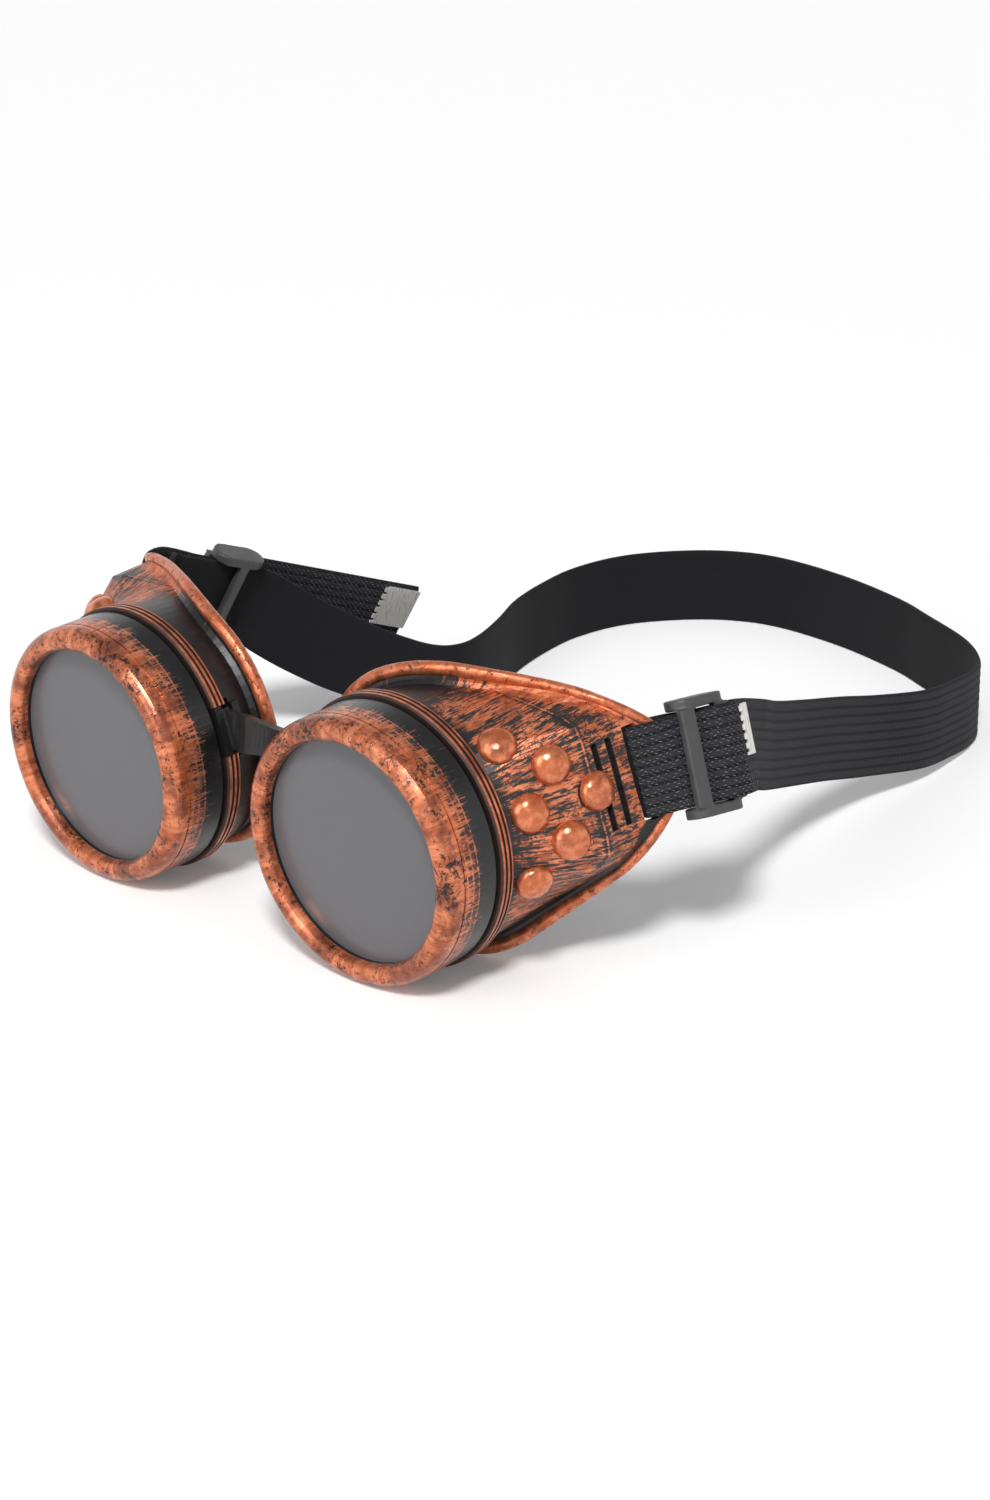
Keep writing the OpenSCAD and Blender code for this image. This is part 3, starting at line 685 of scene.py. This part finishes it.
def worn_copper(name, matrix, speckle, rough=0.34, grooves=()):
    """Copper paint with dark speckles and brown blotches, and dark grooves so many millimetres back."""
    material, tree, shader = finish(name, rough, 0.6, 0.9)
    place = mapped(tree, node(tree, "TexCoord").outputs["Object"], matrix)
    millimetres = node(tree, "VectorMath", {0: place, "Scale": 1000.0}, operation="SCALE").outputs[0]
    blotch = stepped(tree, noise(tree, millimetres, 0.16, 4.0, 0.6), 0.46, 0.7)
    speck_edge = 0.66 - 0.12 * speckle
    specks = stepped(tree, noise(tree, millimetres, 0.75, 8.0, 0.85), speck_edge, speck_edge + 0.04)
    bright = stepped(tree, noise(tree, millimetres, 0.5, 5.0), 0.4, 0.7)
    copper = blended(tree, bright, COPPER, COPPER_BRIGHT)
    copper = blended(tree, times(tree, blotch, 0.7), copper, COPPER_DEEP)
    dark = times(tree, specks, 0.9)
    if grooves:
        back = node(tree, "SeparateXYZ", {"Vector": millimetres}).outputs["Y"]
        for place_back in grooves:
            groove = stepped(tree, apart(tree, back, place_back), 0.2, 0.5, (0.95, 0.0))
            dark = larger(tree, dark, groove)
    tree.links.new(blended(tree, dark, copper, BLACK), shader.inputs["Base Color"])
    tree.links.new(stepped(tree, dark, 0.0, 1.0, (rough, 0.6)), shader.inputs["Roughness"])
    height = minus(tree, noise(tree, millimetres, 0.9, 3.0), dark)
    bumped(tree, shader, height, 0.00008, 0.7)
    return material


def moulded_black(name, colour, rough):
    """Satin plastic or rubber with a fine moulded grain."""
    material, tree, shader = finish(name, rough)
    place = node(tree, "TexCoord").outputs["Object"]
    fine = noise(tree, place, 2600.0, 3.0)
    broad = noise(tree, place, 160.0, 3.0)
    dark, light = (colour * 0.8,) * 3 + (1,), (colour * 1.35,) * 3 + (1,)
    tree.links.new(blended(tree, broad, dark, light), shader.inputs["Base Color"])
    sheen = stepped(tree, broad, 0.3, 0.7, (rough - 0.06, rough + 0.08))
    tree.links.new(sheen, shader.inputs["Roughness"])
    bumped(tree, shader, fine, 0.00003, 0.5)
    return material


def tinted_lens(name):
    """A smooth dark lens with faint smears."""
    material, tree, shader = finish(name, 0.24, 0.0, 0.5)
    place = node(tree, "TexCoord").outputs["Object"]
    cloud = noise(tree, place, 25.0, 2.0)
    smear = noise(tree, place, 700.0, 4.0)
    tree.links.new(blended(tree, cloud, LENS_DARK, LENS_LIGHT), shader.inputs["Base Color"])
    tree.links.new(stepped(tree, smear, 0.3, 0.7, (0.21, 0.27)), shader.inputs["Roughness"])
    return material


def folded_steel(name):
    """Bright sheet with fine scratches."""
    material, tree, shader = finish(name, 0.36, 0.35)
    place = node(tree, "TexCoord").outputs["Object"]
    stretched = node(tree, "Mapping", {"Vector": place, "Scale": (300.0, 2600.0, 300.0)}).outputs[0]
    scratches = noise(tree, stretched, 1.0, 5.0)
    tree.links.new(blended(tree, scratches, STEEL_DARK, STEEL_LIGHT), shader.inputs["Base Color"])
    tree.links.new(stepped(tree, scratches, 0.3, 0.7, (0.24, 0.4)), shader.inputs["Roughness"])
    bumped(tree, shader, scratches, 0.00002, 0.5)
    return material


# Ribs of the elastic, and how far across its UV the inner face lies
RIBS = 9
RIB_EDGE = 0.35 * MM
RIB_PITCH = (STRAP_W - 2 * RIB_EDGE) / RIBS
INNER_UV = 0.1


def woven_elastic(name, knit, specks):
    """Black elastic. Its UV is metres across and metres along, and the inner face lies INNER_UV further
    across. knit is the length of a stitch in mm, and specks the share of light stitches."""
    material, tree, shader = finish(name, 0.8, 0.0, 0.12)
    shader.inputs["Sheen Weight"].default_value = 0.03
    shader.inputs["Sheen Roughness"].default_value = 0.5
    uv = node(tree, "TexCoord").outputs["UV"]
    split = node(tree, "SeparateXYZ", {"Vector": uv}).outputs
    outer = stepped(tree, split["X"], 0.4 * INNER_UV, 0.6 * INNER_UV, (1.0, 0.0))
    rows = times(tree, split["X"], math.pi / RIB_PITCH)
    ribs = maths(tree, "ABSOLUTE", maths(tree, "COSINE", rows))
    across = times(tree, split["X"], 2 * math.pi / (RIB_PITCH / 2))
    along = times(tree, split["Y"], 2 * math.pi / (knit * MM))
    slant = maths(tree, "SINE", across)
    stitches = maths(tree, "SINE", shifted(tree, slant, 1.6, along))
    fibres = noise(tree, uv, 5200.0, 3.0)
    height = shifted(tree, times(tree, stitches, outer), 0.35, fibres)
    # Raised stitches are lighter, a painted highlight mixed with random fibre tone; the rib crests get a painted
    # highlight too
    lit = stepped(tree, height, 0.2, 1.0)
    colour = blended(tree, lit, ELASTIC_DARK, ELASTIC_LIGHT)
    rib_highlight = times(tree, stepped(tree, ribs, 0.25, 0.75), outer)
    colour = blended(tree, times(tree, rib_highlight, 0.55), colour, ELASTIC_RIB_HIGHLIGHT)
    cells = times(tree, stitches, maths(tree, "COSINE", across))
    showing = stepped(tree, noise(tree, uv, 900.0, 2.0), 0.4, 0.6)
    dots = times(tree, stepped(tree, cells, 0.55, 0.85), showing)
    dots = times(tree, times(tree, dots, outer), specks)
    tree.links.new(blended(tree, dots, colour, ELASTIC_STITCH), shader.inputs["Base Color"])
    bumped(tree, shader, height, 0.00012, 0.8)
    return material


# Straps
STRAP_LIFT = 29.5 * MM


def lie(x, y, up=0):
    """A point of the loose strap on the table, as shares of its spread, reach and lift."""
    height = STRAP_W / 2 + RUN_GAP + up * STRAP_LIFT
    return Vector((x * STRAP_SPREAD, y * STRAP_REACH, height)) - MIDDLE


LIE_LEFT = [(1, 0.358, 1), (0.923, 0.407, 0.83), (0.84, 0.477, 0.636), (0.776, 0.556, 0.449),
            (0.737, 0.63, 0.28), (0.731, 0.72, 0.134), (0.695, 0.784, 0.066)]
LIE_BACK = [(0.651, 0.835, 0.018), (0.583, 0.875), (0.436, 0.914), (0.197, 0.95), (0.024, 0.973),
            (-0.256, 0.994), (-0.538, 0.998), (-0.718, 0.979), (-0.859, 0.938), (-0.962, 0.881),
            (-0.991, 0.815), (-0.962, 0.753), (-0.897, 0.685), (-0.801, 0.624), (-0.733, 0.572),
            (-0.718, 0.537)]
LIE_RIGHT = [(-0.756, 0.508, 0.025), (-0.84, 0.479, 0.117), (-0.929, 0.444, 0.28), (-0.981, 0.395, 0.54),
             (-1.015, 0.362, 0.744)]
HOOK_EASE = 3 * MM


def shield_point(side, out, back, up):
    """A point from the shield's tip, and the strap's width direction there."""
    place = Vector((TIP_REACH + out * MM, TIP_Y + back * MM, up * MM))
    frame_up = shield_frame(side).to_3x3() @ Vector((0, 0, 1))
    run_up = run_frame(side).to_3x3() @ Vector((0, 0, 1))
    share = min(1, max(0, back * MM / HOOK_EASE + 1)) if side == "left" else 0
    return shield_frame(side) @ place, frame_up.lerp(run_up, share).normalized()


def run_point(side, out, along):
    """A point on a slider's own frame, out from the band and along the run."""
    matrix = run_frame(side)
    return matrix @ Vector((out, along, 0)), matrix.to_3x3() @ Vector((0, 0, 1))


HOOK = [(-5.9, -7.9, 0), (-6.8, -7.75, 0), (-7.55, -6.8, 0), (-7.5, -5.3, 0)]
HOOKS = {
    "left": HOOK + [(-5.95, -1.7, -0.15), (-3.85, 1.55, -0.5), (-2.3, 3.3, -0.8), (-0.5, 5.3, -1.05)],
    "right": HOOK + [(-5.95, -1.7, 0), (-3.85, 1.55, 0), (-2.4, 3.4, -1.8)],
}
RUN_STOPS = {"left": (1.5, 7, 12.5), "right": (-12.5, -8.3, -4.1, 0.1, 4.3, 8.5)}


def band_keys():
    """Keys of the long band from hook to hook, as [point, width direction]."""
    flat_up = Vector((0, 0, 1))
    ends = {}
    for side in SIDES:
        ends[side] = [shield_point(side, *p) for p in HOOKS[side]]
        ends[side] += [run_point(side, 0, s * MM) for s in RUN_STOPS[side]]
    loose = [(lie(*p), flat_up) for p in LIE_LEFT + LIE_BACK + LIE_RIGHT]
    return ends["left"] + loose + ends["right"][::-1]


LOOP_OUT = [(-5.5, -7.9, 0), (-4.6, -7.75, 0), (-3.2, -6.4, 0)]
LOOPS = {
    "left": LOOP_OUT + [(-0.6, -3.7, 0)],
    "right": LOOP_OUT + [(0.1, -2.5, 0), (1.4, 0.3, -0.5), (2.1, 4, -1.9), (1.6, 8.5, -3.7)],
}
TAIL_STEPS = 6
TAIL_DROP = 0.04


def tail_points(side):
    """Middle line of the tail in the slider's frame, through the slider to the end clip."""
    half = SLIDER_LEN / 2
    gap = half - BAR_W
    over = OVER_OUT
    line = [(LAYER, -half - 0.3 * MM), (LAYER, -gap + 0.6 * MM), (LAYER + 0.75 * MM, -gap + 2 * MM),
            (over - 1.3 * MM, gap - 2.1 * MM), (over - 0.4 * MM, gap - 0.8 * MM), (over, gap + 0.5 * MM),
            (over, half - 0.6 * MM)]
    if side == "left":
        return line + [(over - 0.25 * MM, half + 0.5 * MM), (over - 2.3 * MM, half + 4.3 * MM)]
    steps = [TAIL_LEN * k / TAIL_STEPS for k in range(1, TAIL_STEPS + 1)]
    return line + [(over - TAIL_DROP * s, half + s) for s in steps]


def loop_keys(side):
    """Keys of a loop round the shield's end bar and of the tail that it runs into."""
    loop = [shield_point(side, *p) for p in LOOPS[side]]
    return loop + [run_point(side, n, s) for n, s in tail_points(side)]


def catmull(keys, spacing):
    """Stations a spacing apart on a smooth curve through [point, width direction] keys."""
    dense, steps = [], 12
    last = len(keys) - 1
    for i in range(last):
        a, b, c, d = (keys[max(0, min(last, i + k))][0] for k in (-1, 0, 1, 2))
        for k in range(steps):
            t = k / steps
            point = 0.5 * (2 * b + (c - a) * t + (2 * a - 5 * b + 4 * c - d) * t * t
                           + (3 * b - a - 3 * c + d) * t ** 3)
            dense.append((point, keys[i][1].lerp(keys[i + 1][1], t)))
    dense.append(keys[last])
    run = [0.0]
    for (a, _), (b, _) in zip(dense, dense[1:]):
        run.append(run[-1] + (b - a).length)
    count = max(2, round(run[-1] / spacing))
    stations, k = [], 0
    for i in range(count + 1):
        want = run[-1] * i / count
        while k < len(run) - 2 and run[k + 1] < want:
            k += 1
        t = (want - run[k]) / max(run[k + 1] - run[k], 1e-9)
        stations.append((dense[k][0].lerp(dense[k + 1][0], t), dense[k][1].lerp(dense[k + 1][1], t)))
    return stations, run[-1]


def frames_of(stations):
    """(point, width direction, outward direction) for each station."""
    made = []
    last = len(stations) - 1
    for i, (point, up) in enumerate(stations):
        way = (stations[min(i + 1, last)][0] - stations[max(i - 1, 0)][0]).normalized()
        across = (up - up.dot(way) * way).normalized()
        made.append((point, across, way.cross(across)))
    return made


# Section of the strap: steps over a rib and over the inner face, and the share of the strap's half
# thickness that stands between ribs
RIB_STEPS = 6
INNER_STEPS = 14
RIB_FLOOR = 0.68
EDGE_ROUND = 0.1 * MM
KNOB_ROW = 1.05 * MM
KNOB_PITCH = 1.5 * MM
KNOB_HEIGHT = 0.05 * MM


def strap_profile(knobs):
    """Closed section of the strap as (across, out, share of knobble), with ribs on the outer face."""
    half, t = STRAP_W / 2, STRAP_T / 2
    ribbed = half - RIB_EDGE
    steps = RIBS * RIB_STEPS
    outer = []
    for k in range(steps + 1):
        f = k / steps
        rib = abs(math.sin(math.pi * RIBS * f)) ** 0.6
        outer.append((ribbed - f * 2 * ribbed, t * (RIB_FLOOR + (1 - RIB_FLOOR) * rib), rib * knobs))
    inner = [(-ribbed + k / INNER_STEPS * 2 * ribbed, -t, 0) for k in range(INNER_STEPS + 1)]
    edge = half - EDGE_ROUND
    left = [(-edge, t * 0.5, 0), (-half, 0, 0), (-edge, -t * 0.6, 0)]
    right = [(edge, -t * 0.6, 0), (half, 0, 0), (edge, t * 0.5, 0)]
    return outer + left + inner + right


def strap_piece(name, stations, start, length, material, knobs=0.0):
    """A length of ribbed strap, swept along its stations, with closed ends."""
    ring = strap_profile(knobs)
    frames = frames_of(stations)
    bm = bmesh.new()

    def place(u, v):
        index = round(u * (len(frames) - 1))
        point, across, out = frames[index]
        w, n, rough = ring[round(v * len(ring)) % len(ring)]
        along = start + length * u
        row = round(w / KNOB_ROW)
        knob = rough * KNOB_HEIGHT * math.sin(2 * math.pi * along / KNOB_PITCH + math.pi * (row % 2))
        return point + across * w + out * (n + knob)

    def metres(u, v):
        across, out, _ = ring[min(round(v * len(ring)), len(ring) - 1)]
        return across + (INNER_UV if out < -0.5 * MM else 0), start + length * u

    bent_sheet(bm, len(frames) - 1, len(ring), place, True, metres)
    rims = [edge for edge in bm.edges if edge.is_boundary]
    bmesh.ops.holes_fill(bm, edges=rims, sides=0)
    for face in bm.faces:
        if len(face.verts) > 4:
            for edge in face.edges:
                edge.smooth = False
    bmesh.ops.recalc_face_normals(bm, faces=bm.faces)
    return finish_piece(name, bm, material)


# Build
BAND_SPACING = 1.4 * MM
LOOP_SPACING = 0.4 * MM
strap_band_cloth = woven_elastic("strap_elastic", 1.3, 0.0)
strap_loop_cloth = woven_elastic("coarse_elastic", 1.5, 0.55)
stations, band_length = catmull(band_keys(), BAND_SPACING)
half_way = len(stations) // 2
for side, part, begin in (("left", stations[:half_way + 1], 0.0),
                          ("right", stations[half_way:], band_length * half_way / (len(stations) - 1))):
    span = band_length * (len(part) - 1) / (len(stations) - 1)
    band = strap_piece("strap_band_" + side, part, begin, span, strap_band_cloth)
    slider_end = run_point(side, 0, SLIDER_LEN / 2)[0]
    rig.blend(band, "cup_" + side, "root", slider_end, Vector((slider_end.x * 0.7, 0.085, slider_end.z)))
    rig.replaces(band, "strap_band")
    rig.slot(band, "strap_elastic")
    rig.sheet(band, flat=(STRAP_W, span), held="hung", rests_on=["strap_slider_" + side])

for side in SIDES:
    loop, loop_length = catmull(loop_keys(side), LOOP_SPACING)
    piece = strap_piece("strap_loop_and_tail_" + side, loop, 0.0, loop_length, strap_loop_cloth, 1.0)
    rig.blend(piece, "cup_" + side, "slider_" + side, shield_point(side, *LOOPS[side][2])[0],
             run_point(side, LAYER, -SLIDER_LEN / 2)[0])
    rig.replaces(piece, "strap_loop_" + side, "strap_tail_" + side)
    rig.slot(piece, "strap_elastic")
    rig.sheet(piece, flat=(STRAP_W, loop_length), held="hung", rests_on=["strap_slider_" + side])


# Rolled rim and domes, in brighter copper than the shield
RIM_SEGMENTS = 240
RIM_SIDES = 20
RIM_DENTS = 23
RIM_OVER = 1.03
RIM_UNEVEN = 0.02


def rim_bead(side, material):
    """The rolled rim, a little uneven."""
    matrix = shield_frame(side)
    bm = bmesh.new()

    def place(u, v):
        angle = u * 360 - 180
        turn = 2 * math.pi * v
        dent = math.sin(math.radians(angle * RIM_DENTS)) * math.sin(turn * 3 + angle)
        thick = (RIM_OVER + RIM_UNEVEN * dent) * BEAD_R
        out = rim_out(angle) - BEAD_R + thick * math.cos(turn)
        return matrix @ polar(out, rim_back(angle) + thick * math.sin(turn), angle)

    bent_sheet(bm, RIM_SEGMENTS, RIM_SIDES, place, True)
    bmesh.ops.recalc_face_normals(bm, faces=bm.faces)
    return finish_piece("rim_bead_" + side, bm, material, "cup_" + side)


# Each dome's angle round the lens axis and millimetres back from the shield's root
DOMES = [(28, 5), (-28, 5), (13, 11.3), (-13, 11.3), (0, 5), (0, 18.4)]
DOME_OVER = 1.02
DOME_TALLER = 1.04
DOME_CUT = -0.2


def shield_domes(side, material):
    """The six domes, a hair larger than those of the solid."""
    matrix = shield_frame(side)
    bm = bmesh.new()
    for angle, back in DOMES:
        cap = bmesh.new()
        bmesh.ops.create_uvsphere(cap, u_segments=40, v_segments=24, radius=1)
        cut = bmesh.ops.bisect_plane(cap, geom=cap.verts[:] + cap.edges[:] + cap.faces[:],
                                     plane_co=(0, 0, DOME_CUT), plane_no=(0, 0, 1), clear_inner=True)
        rim = [e for e in cut["geom_cut"] if isinstance(e, bmesh.types.BMEdge)]
        bmesh.ops.contextual_create(cap, geom=rim)
        place = facing(angle, ROOT_Y + back * MM).to_track_quat("Z", "Y").to_matrix().to_4x4()
        size = Matrix.Diagonal((DOME_R * DOME_OVER, DOME_R * DOME_OVER, DOME_H * DOME_TALLER, 1))
        cap.transform(matrix @ Matrix.Translation(skin(angle, ROOT_Y + back * MM)) @ place @ size)
        mesh = bpy.data.meshes.new("cap")
        cap.to_mesh(mesh)
        cap.free()
        bm.from_mesh(mesh)
        bpy.data.meshes.remove(mesh)
    bmesh.ops.recalc_face_normals(bm, faces=bm.faces)
    return finish_piece("shield_domes_" + side, bm, material, "cup_" + side)


SLIDER_VOXEL = 0.3 * MM


def moulded_slider(side, material):
    """The slider with its edges rounded as moulded plastic has them."""
    name = "strap_slider_" + side
    bm = bmesh.new()
    bm.from_mesh(frame["nodes"][name].data)
    bmesh.ops.remove_doubles(bm, verts=bm.verts, dist=WELD)
    piece = finish_piece("slider_frame_" + side, bm, material)
    remesh = piece.modifiers.new("round", "REMESH")
    remesh.mode = "VOXEL"
    remesh.voxel_size = SLIDER_VOXEL
    smooth = piece.modifiers.new("soften", "SMOOTH")
    smooth.iterations = 6
    smooth.factor = 0.5
    evaluated = piece.evaluated_get(bpy.context.evaluated_depsgraph_get())
    mesh = bpy.data.meshes.new_from_object(evaluated)
    piece.modifiers.clear()
    piece.data = mesh
    for face in mesh.polygons:
        face.use_smooth = True
    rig.ride(piece, "slider_" + side)
    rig.replaces(piece, name)
    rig.slot(piece, "slider_plastic")
    return piece


def paint(name, material):
    """Gives a solid of the frame its material."""
    cad = frame["nodes"][name]
    cad.data.materials.clear()
    cad.data.materials.append(material)


slider_black = moulded_black("slider_plastic", 0.045, 0.45)
bridge_black = moulded_black("bridge_plastic", 0.012, 0.36)
gasket_black = moulded_black("gasket_rubber", 0.012, 0.7)
lens_tint = tinted_lens("dark_lens")
clip_silver = folded_steel("clip_steel")
for side in SIDES:
    cup, shield = cup_frame(side), shield_frame(side)
    paint("eye_cup_" + side, shield_finish("rubbed_copper_" + side, shield))
    paint("bezel_ring_" + side, bezel_finish("bezel_copper_" + side, cup))
    paint("collar_ring_" + side, worn_copper("collar_copper_" + side, cup, 0.5, 0.3, COLLAR_GROOVES))
    rim_copper = worn_copper("rim_copper_" + side, shield, 0.9)
    dome_copper = worn_copper("dome_copper_" + side, shield, 0.35, 0.2)
    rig.slot(rim_bead(side, rim_copper), "rubbed_copper")
    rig.slot(shield_domes(side, dome_copper), "rubbed_copper")
    paint("dark_lens_" + side, lens_tint)
    paint("lens_gasket_" + side, gasket_black)
    paint("strap_clip_" + side, clip_silver)
    moulded_slider(side, slider_black)
paint("nose_bridge", bridge_black)


# Floor, light and camera
FLOOR_SIZE = 8
FLOOR_GLOW = 0.1
LAMP_TOWARDS = Vector((0.1, -0.93, 0.5)).normalized()
LAMP_AWAY = 0.8
SUN_TOWARDS = Vector((0.53, -0.66, 1))
WORLD_FILL = 0.36


def shown_rays(tree):
    """The kinds of ray, and 1 for those from the camera, off a gloss or through a clear piece."""
    rays = node(tree, "LightPath").outputs
    shown = larger(tree, rays["Is Camera Ray"], rays["Is Glossy Ray"])
    return rays, larger(tree, shown, rays["Is Transmission Ray"])


def stand(name, data, matrix):
    """Puts a lamp or a camera in its place."""
    made = bpy.data.objects.new(name, data)
    made.matrix_world = matrix
    bpy.context.scene.collection.objects.link(made)
    return made


def aimed(towards):
    """The turn that faces a lamp back along a direction."""
    return towards.to_track_quat("Z", "Y").to_matrix().to_4x4()


def pale_floor():
    """A pale floor that glows a little where it is seen, and lights nothing by it."""
    bm = bmesh.new()
    bmesh.ops.create_grid(bm, x_segments=1, y_segments=1, size=FLOOR_SIZE)
    material, tree, shader = finish("pale_floor", 0.9, 0.0, 0.1)
    shader.inputs["Base Color"].default_value = (0.9, 0.9, 0.9, 1)
    shader.inputs["Emission Color"].default_value = (1, 1, 1, 1)
    glow = times(tree, shown_rays(tree)[1], FLOOR_GLOW)
    tree.links.new(glow, shader.inputs["Emission Strength"])
    floor = finish_piece("floor", bm, material)
    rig.stage(floor)


def studio_light():
    """A soft lamp before the lenses, a key from high up, and a white room dimmer overhead."""
    soft = bpy.data.lights.new("soft_box", "AREA")
    soft.shape = "RECTANGLE"
    soft.size, soft.size_y = 0.35, 0.5
    soft.energy = 1.5
    stand("soft_box", soft, Matrix.Translation(LAMP_TOWARDS * LAMP_AWAY) @ aimed(LAMP_TOWARDS))
    sun = bpy.data.lights.new("key", "SUN")
    sun.energy = 2.5
    sun.angle = math.radians(11)
    stand("key", sun, aimed(SUN_TOWARDS))
    world = bpy.data.worlds.new("studio")
    bpy.context.scene.world = world
    world.use_nodes = True
    tree = world.node_tree
    background = tree.nodes["Background"]
    background.inputs["Color"].default_value = (1, 1, 1, 1)
    rays, shown = shown_rays(tree)
    direction = node(tree, "TexCoord").outputs["Generated"]
    height = node(tree, "SeparateXYZ", {"Vector": direction}).outputs["Z"]
    ceiling = larger(tree, rays["Is Camera Ray"], stepped(tree, height, 0.3, 0.75, (1.0, 0.3)))
    strength = larger(tree, times(tree, shown, ceiling), WORLD_FILL)
    tree.links.new(strength, background.inputs["Strength"])


# The photograph's camera: its turn round the goggles, its height and its distance from the lenses
CAMERA_TURN = math.radians(43.69)
CAMERA_LIFT = math.radians(20.79)
CAMERA_FROM_LENSES = Vector((0.52959, -0.46946, 0.27941))
CAMERA_LENS = 84


def photo_camera():
    """The camera at the place the photograph was taken from."""
    across = Vector((math.cos(CAMERA_TURN), math.sin(CAMERA_TURN), 0))
    towards = Vector((math.sin(CAMERA_TURN) * math.cos(CAMERA_LIFT),
                      -math.cos(CAMERA_TURN) * math.cos(CAMERA_LIFT), math.sin(CAMERA_LIFT)))
    up = towards.cross(across)
    camera = bpy.data.cameras.new("photo")
    camera.sensor_fit = "VERTICAL"
    camera.sensor_height = 36
    camera.lens = CAMERA_LENS
    camera.clip_start = 0.01
    view = stand("photo", camera, Matrix((across, up, towards)).transposed().to_4x4())
    view.location = (lens_centre("left") + lens_centre("right")) / 2 + CAMERA_FROM_LENSES
    bpy.context.scene.camera = view


pale_floor()
studio_light()
photo_camera()
bpy.context.scene.view_settings.view_transform = "Standard"

seen_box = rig.bounds()
with open("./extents.json", "w") as out:
    json.dump({"cad": [list(v) for v in cad_box], "visual": [list(v) for v in seen_box]}, out)
